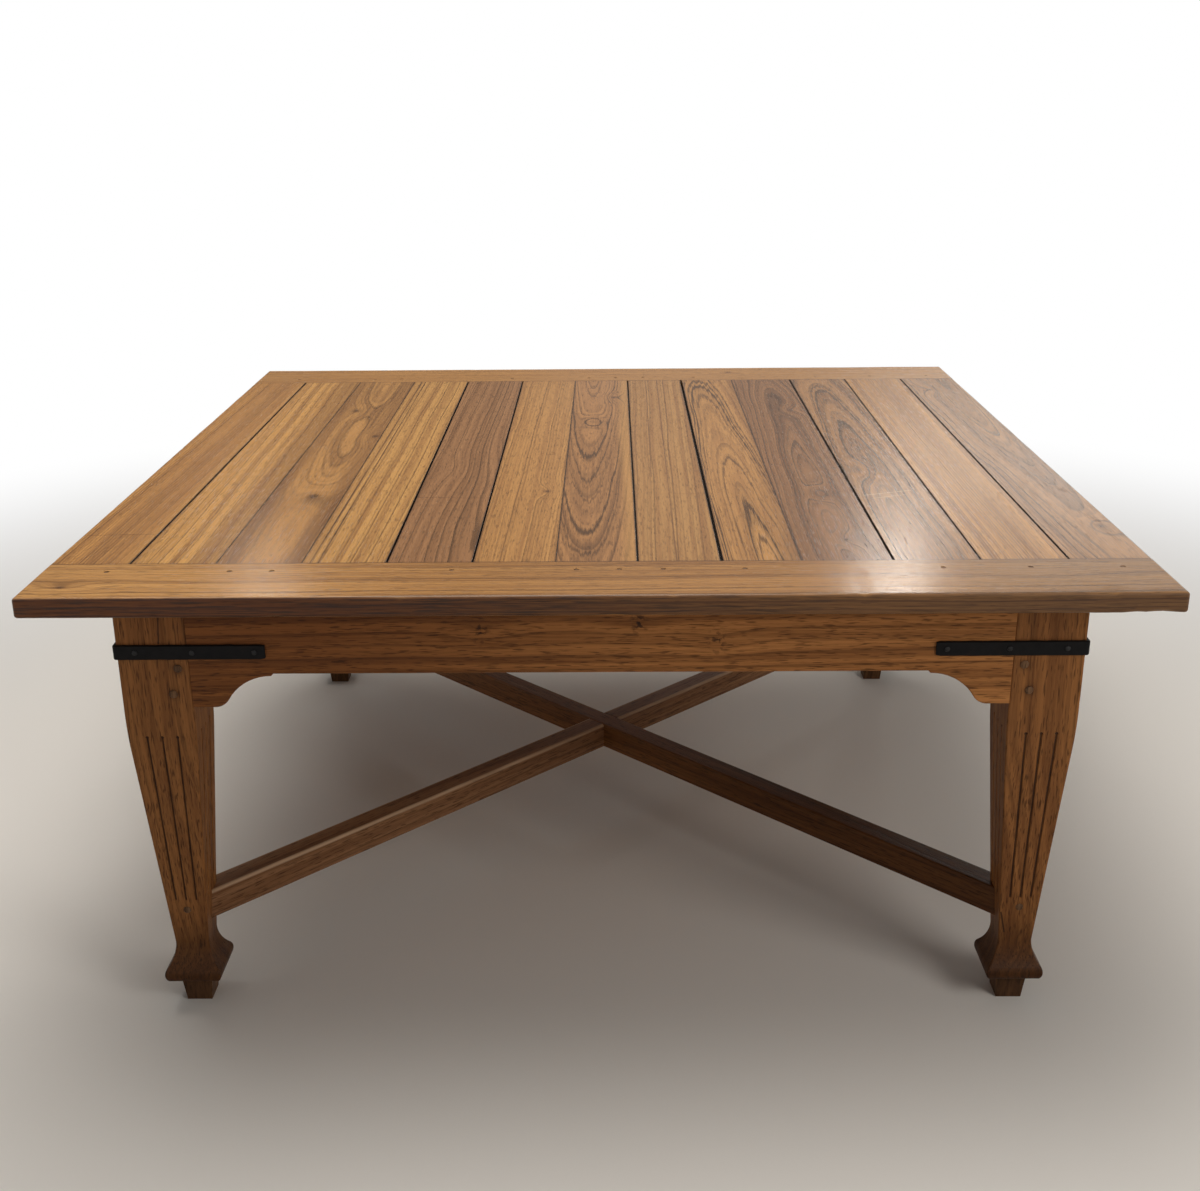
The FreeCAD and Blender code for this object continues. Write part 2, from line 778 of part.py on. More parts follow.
def lower_edges(axis, face):
    """A test for the edges that show along the bottom of an apron, on its outer face."""
    under = bracket_bottom.value + d.bracket_drop.value
    return lambda edge: lies_at(edge, axis, face.value) and max(ends(edge, "z")) < under + TOUCH


long_sketch = outline("long_apron_outline", apron_corners(top_under), Placement(Vector(), FRONT_PLANE))
place(long_sketch, (0, apron_inside, 0))
long_slab = slab("long_apron_slab", long_sketch, ALONG, d.apron_thickness)
long_board = eased("long_apron_board", long_slab, d.apron_round, lower_edges("y", leg_face))
long_right_tenon = long_tenon("long_apron_right_tenon", as_size(0))
long_left_tenon = mirrored("long_apron_left_tenon", long_right_tenon, ACROSS)
long_tenoned = joined("long_apron_tenoned", [long_board, long_right_tenon, long_left_tenon])
long_holes = together("long_apron_holes", apron_peg_holes[:2] + nail_holes[:3])
long_apron = less("long_apron", long_tenoned,
                  [long_holes, mirrored("long_apron_left_holes", long_holes, ACROSS),
                   rail_tenons("rail_mortises", d.fit_gap)] + button_slots)
node("apron_back", long_apron)
node("apron_front", mirrored("long_apron_front", long_apron, ALONG))

# Side aprons: their top edge is lower, for the leaf to pass over, and notched for its lopers

notch_height = side_top - loper_bottom + 2 * d.running_gap
notch_level = loper_bottom - d.running_gap + notch_height / 2
side_holes = together("side_apron_holes", apron_peg_holes[2:] + nail_holes[3:])
side_front_holes = mirrored("side_front_holes", side_holes, ALONG)
side_holes_both = together("side_apron_both_holes", [side_holes, side_front_holes])
side_back_tenon = side_tenon("side_apron_back_tenon", as_size(0))
side_front_tenon = mirrored("side_apron_front_tenon", side_back_tenon, ALONG)
side_tenons = together("side_apron_tenons", [side_back_tenon, side_front_tenon])
for side, turn in (("right", 1), ("left", -1)):
    sketch = outline(f"{side}_apron_outline", apron_corners(side_top), Placement(Vector(), SIDE_PLANE))
    place(sketch, (turn * apron_middle - d.apron_thickness / 2, 0, 0))
    side_slab = slab(f"{side}_apron_slab", sketch, ACROSS, d.apron_thickness)
    board = eased(f"{side}_apron_board", side_slab, d.apron_round, lower_edges("x", turn * leg_face))
    tenons = side_tenons
    side_cutters = side_holes_both
    if turn < 0:
        tenons = mirrored(f"{side}_apron_far_tenons", side_tenons, ACROSS)
        side_cutters = mirrored(f"{side}_apron_far_holes", side_holes_both, ACROSS)
    notches = [block(f"{side}_notch_{index}", (turn * apron_middle, lane, notch_level),
                     (2 * d.apron_thickness, d.loper_width + 2 * d.running_gap, notch_height))
               for index, lane in enumerate(loper_lanes(turn), 1)]
    tenoned = joined(f"{side}_apron_tenoned", [board, tenons])
    node(f"apron_{side}", less(f"{side}_apron", tenoned, notches + [side_cutters]))

# Draw-bore pegs of the apron tenons, and the pegs of the stretcher tenons

apron_pegs = [peg(f"apron_peg_{number}", face, outwards, d.apron_peg, d.peg_depth)
              for number, (face, outwards) in enumerate(peg_faces, 1)]
corner_pegs = together("corner_apron_pegs", apron_pegs)
node("apron_pegs", together("apron_pegs", four_corners("corner_apron_pegs", corner_pegs)))
stretcher_peg = peg("stretcher_peg", stretcher_peg_seat, ALONG, d.stretcher_peg, d.stretcher_peg_depth)
node("stretcher_pegs", together("stretcher_pegs", four_corners("stretcher_peg", stretcher_peg)))

# Stretchers: two diagonal bars, coped over the legs' inner corners and half-lapped where they cross

leg_blanks = dict(zip(CORNERS, four_corners("leg_blank", leg_blank)))
peg_holes = dict(zip(CORNERS, four_corners("stretcher_peg_hole", stretcher_peg_hole)))
LAPS = {"under": (1, ("back_right", "front_left"), 1), "over": (-1, ("front_right", "back_left"), -1)}
for lap, (turn, corners, notch_side) in LAPS.items():
    bar = diagonal_block(f"stretcher_{lap}_bar", turn, 2 * leg_axis / DIAGONAL, d.stretcher_width,
                         d.stretcher_height, stretcher_level)
    rounded = eased(f"stretcher_{lap}_eased", bar, d.stretcher_round,
                    lambda edge: lies_at(edge, "z", d.stretcher_top.value) and edge.Length > d.post.value)
    coped = less(f"stretcher_{lap}_coped", rounded, [leg_blanks[corner] for corner in corners])
    tenons = stretcher_tenon(f"stretcher_{lap}_tenons", turn, as_size(0))
    tenoned = joined(f"stretcher_{lap}_tenoned", [coped, tenons])
    lap_room = diagonal_block(f"stretcher_{lap}_lap", -turn, 2 * d.stretcher_width, d.stretcher_width + play,
                              d.stretcher_height, stretcher_level + notch_side * d.stretcher_height / 2)
    node(f"stretcher_{lap}", less(f"stretcher_{lap}", tenoned, [lap_room] + [peg_holes[c] for c in corners]))

# Corner straps: iron bands bent round the outer corner of each leg, nailed to leg and aprons

strap_reach = d.strap_arm + d.strap_thickness
strap_middle = leg_face + d.strap_thickness / 2
strap_arm_middle = leg_face + d.strap_thickness - strap_reach / 2
strap_bars = [block("strap_back_arm", (strap_arm_middle, strap_middle, strap_level),
                    (strap_reach, d.strap_thickness, d.strap_height)),
              block("strap_side_arm", (strap_middle, strap_arm_middle, strap_level),
                    (d.strap_thickness, strap_reach, d.strap_height))]
strap_bent = joined("strap_bent", strap_bars)
strap_outside = leg_face + d.strap_thickness


def on_strap(edge, axis):
    """Whether an edge lies on the outer face of one of the strap's arms."""
    return lies_at(edge, axis, strap_outside.value)


def rounds_strap_bend(edge):
    """Whether an edge is one of the two arcs round the outside of the strap's bend."""
    return isinstance(edge.Curve, Part.Circle)


strap_corner = eased("strap_corner", strap_bent, d.strap_bend,
                     lambda edge: on_strap(edge, "x") and on_strap(edge, "y"))
strap_eased = eased("strap_eased", strap_corner, d.strap_round,
                    lambda edge: on_strap(edge, "x") or on_strap(edge, "y") or rounds_strap_bend(edge))
nail_seats = [(moved(face, outwards, d.strap_thickness), outwards) for face, outwards in nail_faces]
strap_nail_holes = [hole(f"strap_hole_{number}", seat, backwards(outwards), d.nail_shank, d.strap_thickness)
                    for number, (seat, outwards) in enumerate(nail_seats, 1)]
strap = less("strap", strap_eased, strap_nail_holes)
for corner, piece in zip(CORNERS, four_corners("strap", strap)):
    node(f"corner_strap_{corner}", piece)

nails = [headed(f"nail_{number}", seat, backwards(outwards), d.nail_shank, d.nail_length, d.nail_head,
                d.nail_head_flat, d.nail_head_height)
         for number, (seat, outwards) in enumerate(nail_seats, 1)]
corner_nails = together("corner_nails", nails)
node("strap_nails", together("strap_nails", four_corners("corner_nails", corner_nails)))

# Top boards: tongued into one another and, at both ends, into the breadboards

peg_row = []
peg_room = []
for number, (board, offset) in enumerate(BREADBOARD_PEGS, 1):
    left, width = board_places[board]
    across = left + width / 2 + getattr(d, f"peg_offset_{number:02}")
    start = (across, board_end + d.breadboard_peg_inset, d.table_height)
    peg_row.append(rod(f"breadboard_peg_{number:02}", start, DOWN, d.breadboard_peg, d.breadboard_peg_length))
    peg_room.append(hole(f"breadboard_peg_hole_{number:02}", start, DOWN, d.breadboard_peg,
                         d.breadboard_peg_length))
back_pegs = together("back_breadboard_pegs", peg_row)
front_pegs = mirrored("front_breadboard_pegs", back_pegs, ALONG)
node("breadboard_pegs", together("breadboard_pegs", [back_pegs, front_pegs]))
back_peg_holes = together("back_breadboard_peg_holes", peg_room)
front_peg_holes = mirrored("front_breadboard_peg_holes", back_peg_holes, ALONG)
top_holes = [back_screw_holes, front_screw_holes, back_peg_holes, front_peg_holes]

board_length = 2 * board_end
for number, (left, width) in board_places.items():
    name = f"top_board_{number:02}"
    right = left + width
    middle = left + width / 2
    first = number == 1
    last = number == BOARD_COUNT
    blank = block(f"{name}_blank", (middle, as_size(0), tongue_level), (width, board_length, d.top_thickness))
    for edge_name, edge_x, outer, gap in (("left", left, first, board_gaps[number - 2]),
                                          ("right", right, last, board_gaps[number - 1])):
        open_joint = not outer and gap.value > 0
        ease = d.top_round if outer else d.open_joint_ease if open_joint else d.tight_joint_ease
        levels = (d.table_height.value, top_under.value) if outer else (d.table_height.value,)
        blank = eased(f"{name}_{edge_name}_eased", blank, ease,
                      lambda edge: runs_along(edge, "y") and lies_at(edge, "x", edge_x.value)
                      and ends(edge, "z")[0] in levels)
    start = left + (d.groove_stop + d.fit_gap if first else d.tongue_shoulder)
    stop = right - (d.groove_stop + d.fit_gap if last else d.tongue_shoulder)
    pieces = [blank, block(f"{name}_end_tongues", ((start + stop) / 2, as_size(0), tongue_level),
                           (stop - start, board_length + 2 * d.end_tongue, d.tongue_thickness))]
    cutters = list(top_holes)
    if not last:
        pieces.append(block(f"{name}_edge_tongue", (right, as_size(0), tongue_level),
                            (2 * d.edge_tongue, board_length - 2 * d.tongue_shoulder, d.tongue_thickness)))
    if not first:
        cutters.append(block(f"{name}_groove", (left, as_size(0), tongue_level),
                             (2 * (d.edge_tongue + d.tongue_end_room),
                              board_length - 2 * d.tongue_shoulder + play, d.tongue_thickness + play)))
    node(name, less(name, joined(f"{name}_tongued", pieces), cutters))

# Breadboards: grooved for the boards' end tongues

breadboard_middle = board_end + d.breadboard_width / 2
breadboard_blank = block("breadboard_blank", (as_size(0), breadboard_middle, tongue_level),
                         (d.top_side, d.breadboard_width, d.top_thickness))
breadboard_eased = eased("breadboard_eased", breadboard_blank, d.top_round,
                         lambda edge: max(ends(edge, "y")) > board_end.value + TOUCH)
breadboard_groove = block("breadboard_groove", (as_size(0), board_end, tongue_level),
                          (d.top_side - 2 * d.groove_stop, 2 * (d.end_tongue + d.tongue_end_room),
                           d.tongue_thickness + play))
breadboard_grooved = less("breadboard_grooved", breadboard_eased, [breadboard_groove])
breadboard = less("breadboard", breadboard_grooved, [back_peg_holes, back_screw_holes])
node("breadboard_back", breadboard)
node("breadboard_front", mirrored("front_breadboard", breadboard, ALONG))

# Draw leaves: five boards screwed across two lopers, which run through the side apron and the centre rail

leaf_inside = rail_face + d.leaf_rail_gap
leaf_outside = leg_face + d.leaf_lip
leaf_board_width = (leaf_outside - leaf_inside) / LEAF_BOARD_COUNT
leaf_length = 2 * leaf_end
leaf_level = leaf_under + d.leaf_thickness / 2
stop_peg_across = -(rail_face + d.leaf_draw + d.running_gap + d.stop_peg / 2)
loper_inner_end = stop_peg_across - d.stop_peg / 2 - d.stop_peg_margin
loper_outer_end = leg_face - d.loper_end_inset
loper_level = loper_bottom + d.loper_height / 2
leaf_screw_seat = loper_bottom + d.loper_counterbore
leaf_screw_length = d.loper_height - d.loper_counterbore + d.screw_bite
leaf_board_middles = [leaf_inside + leaf_board_width * (index + 0.5) for index in range(LEAF_BOARD_COUNT)]
for side, turn in (("right", 1), ("left", -1)):
    screws = []
    screw_holes = []
    counterbores = []
    stops = []
    for place_name, lane in zip(("front", "back"), loper_lanes(turn)):
        name = f"{side}_loper_{place_name}"
        for number, middle in enumerate(leaf_board_middles, 1):
            seat = (turn * middle, lane, leaf_screw_seat)
            screws.append(screw(f"{name}_screw_{number}", seat, leaf_screw_length))
            screw_holes.append(hole(f"{name}_hole_{number}", seat, UP, d.screw_shank, leaf_screw_length))
            counterbores.append(rod(f"{name}_counterbore_{number}", seat, DOWN, d.counterbore,
                                    d.loper_counterbore))
        bar = block(f"{name}_bar", (turn * (loper_inner_end + loper_outer_end) / 2, lane, loper_level),
                    (loper_outer_end - loper_inner_end, d.loper_width, d.loper_height))
        relief = block(f"{name}_relief", (turn * (loper_inner_end + leaf_inside) / 2, lane, leaf_under),
                       (leaf_inside - loper_inner_end + play, 2 * d.loper_width, 2 * d.loper_relief))
        stop_start = (turn * stop_peg_across, lane, loper_bottom - d.stop_peg_drop)
        stop_length = d.stop_peg_drop + d.stop_peg_hold
        stops.append(rod(f"{name}_stop", stop_start, UP, d.stop_peg, stop_length))
        stop_hole = hole(f"{name}_stop_hole", stop_start, UP, d.stop_peg, stop_length)
        node(name, less(name, bar, [relief, stop_hole] + screw_holes + counterbores))
    node(f"{side}_leaf_screws", together(f"{side}_leaf_screws", screws))
    node(f"{side}_loper_stops", together(f"{side}_loper_stops", stops))
    for number, middle in enumerate(leaf_board_middles, 1):
        name = f"{side}_leaf_board_{number}"
        blank = block(f"{name}_blank", (turn * middle, as_size(0), leaf_level),
                      (leaf_board_width, leaf_length, d.leaf_thickness))
        if number == LEAF_BOARD_COUNT:
            lip = turn * leaf_outside.value
            blank = eased(f"{name}_eased", blank, d.leaf_round,
                          lambda edge: lies_at(edge, "x", lip) and runs_along(edge, "y"))
        node(name, less(name, blank, screw_holes))

# Every piece is whole before any is written

doc.recompute()
failed = [piece.Name for piece in doc.Objects if {"Invalid", "Error"} & set(piece.State)]
if failed:
    raise RuntimeError(f"failed: {failed}")
for label, piece in nodes.items():
    if piece.Shape.isNull() or not piece.Shape.isValid() or not piece.Shape.Solids:
        raise RuntimeError(f"{label} is not a sound solid")

os.makedirs("parts", exist_ok=True)
for label, piece in nodes.items():
    piece.Shape.exportStep(f"parts/{label}.step")
print(len(nodes), "pieces written")
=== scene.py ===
import math
import random
import types

import bmesh
import bpy
from mathutils import Matrix, Vector, noise


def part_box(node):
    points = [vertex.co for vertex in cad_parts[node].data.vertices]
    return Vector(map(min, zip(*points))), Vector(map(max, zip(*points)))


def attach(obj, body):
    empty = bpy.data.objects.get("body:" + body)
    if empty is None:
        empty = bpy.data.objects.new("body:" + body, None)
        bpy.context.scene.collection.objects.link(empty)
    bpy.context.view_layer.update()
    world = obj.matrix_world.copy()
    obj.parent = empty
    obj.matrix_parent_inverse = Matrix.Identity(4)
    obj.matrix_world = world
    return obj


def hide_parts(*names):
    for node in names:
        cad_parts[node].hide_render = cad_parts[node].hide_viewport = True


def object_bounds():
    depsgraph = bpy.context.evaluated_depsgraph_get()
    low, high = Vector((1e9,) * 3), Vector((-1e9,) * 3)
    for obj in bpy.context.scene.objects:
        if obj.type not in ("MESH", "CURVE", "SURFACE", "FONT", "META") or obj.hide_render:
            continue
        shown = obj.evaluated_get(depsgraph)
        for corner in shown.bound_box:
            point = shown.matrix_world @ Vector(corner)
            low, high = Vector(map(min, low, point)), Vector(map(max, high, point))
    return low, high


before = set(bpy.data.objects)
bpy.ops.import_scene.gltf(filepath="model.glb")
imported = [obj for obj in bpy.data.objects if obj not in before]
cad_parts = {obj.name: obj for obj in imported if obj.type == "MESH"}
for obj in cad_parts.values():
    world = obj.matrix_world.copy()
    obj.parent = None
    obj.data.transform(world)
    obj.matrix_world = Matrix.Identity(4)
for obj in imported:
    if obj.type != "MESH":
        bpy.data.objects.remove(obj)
cad_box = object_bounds()


# Legs
# Four solid teak posts, square above the aprons' brackets, tapered to an ankle and flared again at the foot.
# Each is one length with its grain upright. Three flutes are scratched into each face; their dark is old wax
# and painted shade.

class Wire:
    """One socket of a material's nodes. Arithmetic on wires adds Math nodes."""

    def __init__(self, socket):
        self.socket = socket

    def node(self, kind, settings, inputs, output=0):
        """Add a node of any kind: its settings first, then the values or wires of its sockets."""
        tree = self.socket.id_data
        added = tree.nodes.new(kind)
        for name, setting in settings.items():
            setattr(added, name, setting)
        for name, value in inputs.items():
            if isinstance(value, Wire):
                tree.links.new(value.socket, added.inputs[name])
            else:
                added.inputs[name].default_value = value
        return Wire(added.outputs[output]) if added.outputs else None

    def math(self, operation, first, second=0.0):
        return self.node("ShaderNodeMath", {"operation": operation}, {0: first, 1: second})

    def __add__(self, other):
        return self.math("ADD", self, other)

    def __radd__(self, other):
        return self.math("ADD", other, self)

    def __sub__(self, other):
        return self.math("SUBTRACT", self, other)

    def __rsub__(self, other):
        return self.math("SUBTRACT", other, self)

    def __mul__(self, other):
        return self.math("MULTIPLY", self, other)

    def __rmul__(self, other):
        return self.math("MULTIPLY", other, self)

    def __truediv__(self, other):
        return self.math("DIVIDE", self, other)

    def __rtruediv__(self, other):
        return self.math("DIVIDE", other, self)

    def __pow__(self, other):
        return self.math("POWER", self, other)

    def __rpow__(self, other):
        return self.math("POWER", other, self)

    def __neg__(self):
        return self.math("MULTIPLY", self, -1.0)

    def __abs__(self):
        return self.math("ABSOLUTE", self)

    def step(self, low, high):
        """0 below low, 1 above high, and smooth between them."""
        return self.node("ShaderNodeMapRange", {"interpolation_type": "SMOOTHSTEP"},
                         {"Value": self, "From Min": low, "From Max": high})

    def parts(self):
        """The three parts of a vector."""
        first = self.node("ShaderNodeSeparateXYZ", {}, {0: self})
        return [Wire(output) for output in first.socket.node.outputs]


def bare(name):
    """A new material with no surface yet, and the places on its piece in metres."""
    material = bpy.data.materials.new(name)
    material.use_nodes = True
    material.node_tree.nodes.clear()
    return material, Wire(material.node_tree.nodes.new("ShaderNodeTexCoord").outputs["Object"])


# A seed moves the noise by these shares of itself, across, along and deep in the wood.
SEED_SHARES = (1.0, 1.7, 0.6)


def streaks(wood, across, along, detail, shift, output=0):
    """Noise drawn out along the grain, with how many changes there are in a metre across and along it."""
    start = tuple((wood.seed + shift) * share for share in SEED_SHARES)
    moved = wood.grain.node("ShaderNodeVectorMath", {"operation": "MULTIPLY_ADD"},
                            {0: wood.grain, 1: (across, along, across), 2: start})
    return moved.node("ShaderNodeTexNoise", {}, {"Vector": moved, "Scale": 1.0, "Detail": detail}, output)


def hill(wood, across, along, width, length):
    """1 at a place on the face, fading out over a width and a length."""
    side = (wood.across - across) / width
    run = (wood.along - along) / length
    return wood.across.math("EXPONENT", -(side * side + run * run))


def stroke(wood, start, end, width):
    """1 on a straight line between two places on the face, fading out over its width."""
    run = (end[0] - start[0], end[1] - start[1])
    length = run[0] ** 2 + run[1] ** 2
    side = wood.across - start[0]
    way = wood.along - start[1]
    share = side.node("ShaderNodeClamp", {}, {0: (side * run[0] + way * run[1]) / length})
    off_side = side - share * run[0]
    off_way = way - share * run[1]
    return 1 - (off_side * off_side + off_way * off_way).step(0, width ** 2)


def teak(name, run, centre, heart, lean, ring, sway, seed, eyes=()):
    """Begin a teak material: places across, along and deep in the grain, and the rings out from the heart.

    run is the axis of the grain, with on_edge for a board that stands on its edge, or the angle in degrees of
    a level bar. centre and heart are places across and deep, lean is the heart's drift in a metre, ring the
    ring's width and sway how far the rings wander.
    An eye is a place across and along where the rings swell, with its width, length and height.
    """
    material, place = bare(name)
    if not isinstance(run, str):
        place = place.node("ShaderNodeVectorRotate", {"rotation_type": "Z_AXIS"},
                           {"Vector": place, "Angle": -math.radians(run)})
    x, y, z = place.parts()
    across, along, deep = {"y": (x, y, z), "z": (x, z, y), "x_on_edge": (z, x, y),
                           "y_on_edge": (z, y, x)}.get(run, (y, x, z))
    wood = types.SimpleNamespace(material=material, seed=seed, across=across - centre[0], along=along,
                                 deep=deep - centre[1])
    wood.grain = along.node("ShaderNodeCombineXYZ", {}, {0: wood.across, 1: wood.along, 2: wood.deep})
    wander = streaks(wood, across=5.0, along=1.3, detail=2.0, shift=0.0, output="Color")
    sway_across, sway_deep, _ = wander.parts()
    out = wood.across - heart[0] - wood.along * lean[0] + (sway_across - 0.5) * (2 * sway)
    down = wood.deep - heart[1] - wood.along * lean[1] + (sway_deep - 0.5) * (2 * sway)
    wood.radius = out.math("SQRT", out * out + down * down)
    for eye_across, eye_along, width, length, height in eyes:
        wood.radius = wood.radius + hill(wood, eye_across, eye_along, width, length) * height
    wood.rings = wood.radius / ring
    return wood


def blended(share, first, second):
    """Two colours, or wires of colour, mixed by a share."""
    return share.node("ShaderNodeMix", {"data_type": "RGBA"}, {0: share, 6: first, 7: second}, 2)


# A ring wavers with the fibres, its late wood darkens to a line, and the next ring starts pale.
# The lines are uneven in strength, darker bands take in several rings, and finer lines lie inside each ring.
RING_WAVER = 0.22
LATE_WOOD = (0.35, 0.93)
RING_END = (0.95, 1.0)
UNEVEN_RINGS = 1.3
RING_BANDS = 0.37
BAND_EDGES = (0.30, 0.70)
FINE_LINES = 3.3
# The black of lines and pores is a share of the dark colour. A bold line wanders by so much in metres, and is
# full over a share of its width.
BLACK_SHARE = 0.30
BOLD_WANDER = 0.006
BOLD_CORE = 0.1
# How much each mark shades the colour, dulls the gloss, and stands above or below the face.
FIBRE_SHADE = 1.3
CLOUD_SHADE = 0.5
FINE_SHADE = 0.22
LINE_SHADE = 0.9
PORE_SHADE = 0.42
PORE_DULL = 0.16
CLOUD_DULL = 0.12
FIBRE_DULL = 0.10
FIBRE_RISE = 0.5
PORE_SINK = 0.5
LINE_SINK = 0.3
DASH_SINK = 0.25


def toned(wood, light, dark, bands, lines, gloss, dashes, bold=()):
    """Colour the wood: bands of darker rings, dark lines where rings end, fibres, pores and cloudy patches.

    dashes is how dark the longer open pores are. bold gives rings that end in a heavier line, by their
    distance from the heart, width and strength.
    """
    fibre = streaks(wood, across=240.0, along=3.5, detail=4.0, shift=11.0)
    pore = streaks(wood, across=640.0, along=26.0, detail=1.0, shift=23.0).step(0.58, 0.72)
    dash = streaks(wood, across=470.0, along=38.0, detail=1.0, shift=67.0).step(0.57, 0.68)
    cloud = streaks(wood, across=3.5, along=1.2, detail=1.0, shift=37.0)
    rings = wood.rings + fibre * RING_WAVER
    band = rings.node("ShaderNodeTexNoise", {"noise_dimensions": "1D"},
                      {"W": rings * RING_BANDS + wood.seed, "Scale": 1.0, "Detail": 3.0})
    tick = rings.math("FRACT", rings)
    strength = rings.node("ShaderNodeTexWhiteNoise", {"noise_dimensions": "1D"},
                          {"W": rings.math("FLOOR", rings)})
    line = tick.step(*LATE_WOOD) * (1 - tick.step(*RING_END)) * strength ** UNEVEN_RINGS
    fine = rings.math("FRACT", rings * FINE_LINES)
    shade = (band.step(*BAND_EDGES) * bands + (fibre - 0.5) * FIBRE_SHADE + (cloud - 0.5) * CLOUD_SHADE
             + (fine - 0.5) * FINE_SHADE * lines)
    black = tuple(part * BLACK_SHARE for part in dark[:3]) + (1.0,)
    colour = blended(shade, light, dark)
    colour = blended(line * lines * LINE_SHADE, colour, black)
    wander = (fibre - 0.5) * BOLD_WANDER
    for radius, width, weight in bold:
        heavy = 1 - abs(wood.radius + wander - radius).step(BOLD_CORE * width, width)
        colour = blended(heavy * weight, colour, black)
    colour = blended(dash * dashes, colour, black)
    wood.colour = blended(pore * PORE_SHADE, colour, black)
    wood.rough = gloss + pore * PORE_DULL + (cloud - 0.5) * CLOUD_DULL + (fibre - 0.5) * FIBRE_DULL
    wood.height = fibre * FIBRE_RISE - pore * PORE_SINK - line * LINE_SINK - dash * DASH_SINK
    return wood


def stained(wood, mask, colour):
    """Cover the wood with a colour where the mask is."""
    wood.colour = blended(mask, wood.colour, colour)


def tinted(wood, mask, tint):
    """Darken the wood by a tint where the mask is, so that its grain still shows."""
    wood.colour = mask.node("ShaderNodeMix", {"data_type": "RGBA", "blend_type": "MULTIPLY"},
                            {0: mask, 6: wood.colour, 7: tint}, 2)


GRAIN_DEPTH = 0.0005
FRAME_SHINE = 0.12
FRAME_RELIEF = 0.6


def finished(wood, nodes, shine=FRAME_SHINE, depth=FRAME_RELIEF):
    """Join the wood's colour, gloss and relief into its surface, and give it to the nodes."""
    relief = wood.height.node("ShaderNodeBump", {},
                              {"Strength": depth, "Distance": GRAIN_DEPTH, "Height": wood.height})
    surface = relief.node("ShaderNodeBsdfPrincipled", {},
                          {"Base Color": wood.colour, "Roughness": wood.rough, "Normal": relief,
                           "Specular IOR Level": shine})
    surface.node("ShaderNodeOutputMaterial", {}, {"Surface": surface})
    for name in nodes:
        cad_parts[name].material_slots[0].material = wood.material
    return wood.material


CORNERS = ("front_left", "front_right", "back_left", "back_right")
LEG_LIGHT = (0.32, 0.132, 0.040, 1)
LEG_DARK = (0.12, 0.041, 0.012, 1)
FRAME_DASHES = 0.65
FLOOR_GRIME = (0.30, 0.28, 0.28, 1)
GRIME_LEVELS = (0.06, 0.20)
WAX_AND_SHADE_BLACK = (0.012, 0.006, 0.004, 1)
FLUTE_WAX_AND_SHADE = 0.8
RIM_WAX = 0.75
SPLIT_WAX = 0.85
TAPER_LEVEL = 0.515
ANKLE_LEVEL = 0.118
ANKLE_WIDTH = 0.056
FLUTE_DEPTH = 0.002
# Where the aprons' pegs come through: in from the leg's inner face, and up from the floor.
APRON_PEGS = ((0.018, 0.626), (0.029, 0.583))
PEG_RIM = 0.0085
# Drying splits in the faces of the legs, by their ends across and up, with their width.
SPLITS = {"front_left": ((0.017, 0.735), (0.012, 0.668), 0.0014),
          "front_right": ((-0.029, 0.172), (-0.020, 0.133), 0.0018)}
LEG_HEARTS = {"front_left": (0.09, -0.20), "front_right": (-0.12, 0.16), "back_left": (0.15, 0.12),
              "back_right": (-0.10, -0.18)}


def leg_axis(corner):
    low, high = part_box(f"leg_{corner}")
    return (low + high) / 2


def corner_turn(corner):
    """Which way a corner is from the middle of the table, to the right and to the back."""
    return (1 if corner.endswith("right") else -1, 1 if corner.startswith("back") else -1)


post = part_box("leg_front_left")[1].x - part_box("leg_front_left")[0].x
leg_slope = (post - ANKLE_WIDTH) / 2 / (TAPER_LEVEL - ANKLE_LEVEL)
for number, corner in enumerate(CORNERS):
    axis = leg_axis(corner)
    leg = teak(f"teak_leg_{corner}", "z", (axis.x, axis.y), LEG_HEARTS[corner], lean=(0.02, 0.03),
               ring=0.0075, sway=0.012, seed=3.1 + 5.3 * number)
    toned(leg, LEG_LIGHT, LEG_DARK, bands=0.6, lines=0.5, gloss=0.42, dashes=FRAME_DASHES)
    half = (leg.along - ANKLE_LEVEL) * leg_slope + ANKLE_WIDTH / 2
    face = half.math("MINIMUM", half, post / 2)
    reach = face.math("MAXIMUM", abs(leg.across), abs(leg.deep))
    # The flutes' hollows are painted near-black: partly old wax, partly painted shade in the recesses.
    stained(leg, (face - reach).step(0.45 * FLUTE_DEPTH, FLUTE_DEPTH) * FLUTE_WAX_AND_SHADE, WAX_AND_SHADE_BLACK)
    tinted(leg, 1 - leg.along.step(*GRIME_LEVELS), FLOOR_GRIME)
    for inset, level in APRON_PEGS:
        rim = hill(leg, corner_turn(corner)[0] * (inset - post / 2), level, PEG_RIM, PEG_RIM)
        stained(leg, rim * RIM_WAX, WAX_AND_SHADE_BLACK)
    if corner in SPLITS:
        stained(leg, stroke(leg, *SPLITS[corner]) * SPLIT_WAX, WAX_AND_SHADE_BLACK)
    finished(leg, [f"leg_{corner}"])

# Foot blocks
# A small tapered teak block dowelled up into each flared foot, which takes the wear of the floor.
# They are dark with floor polish.

FOOT_LIGHT = (0.13, 0.06, 0.025, 1)
FOOT_DARK = (0.05, 0.022, 0.010, 1)
for number, corner in enumerate(CORNERS):
    axis = leg_axis(corner)
    block = teak(f"teak_foot_block_{corner}", "z", (axis.x, axis.y), (0.05, 0.04), lean=(0.0, 0.0),
                 ring=0.006, sway=0.006, seed=41.0 + number)
    toned(block, FOOT_LIGHT, FOOT_DARK, bands=0.6, lines=0.5, gloss=0.5, dashes=0.4)
    finished(block, [f"foot_block_{corner}"])

# Aprons
# Four teak boards with their grain along them, sawn to an ogee bracket at both ends.
# They are tenoned into the legs. The front one is painted darker towards its left end, as shade with the
# light from the right.

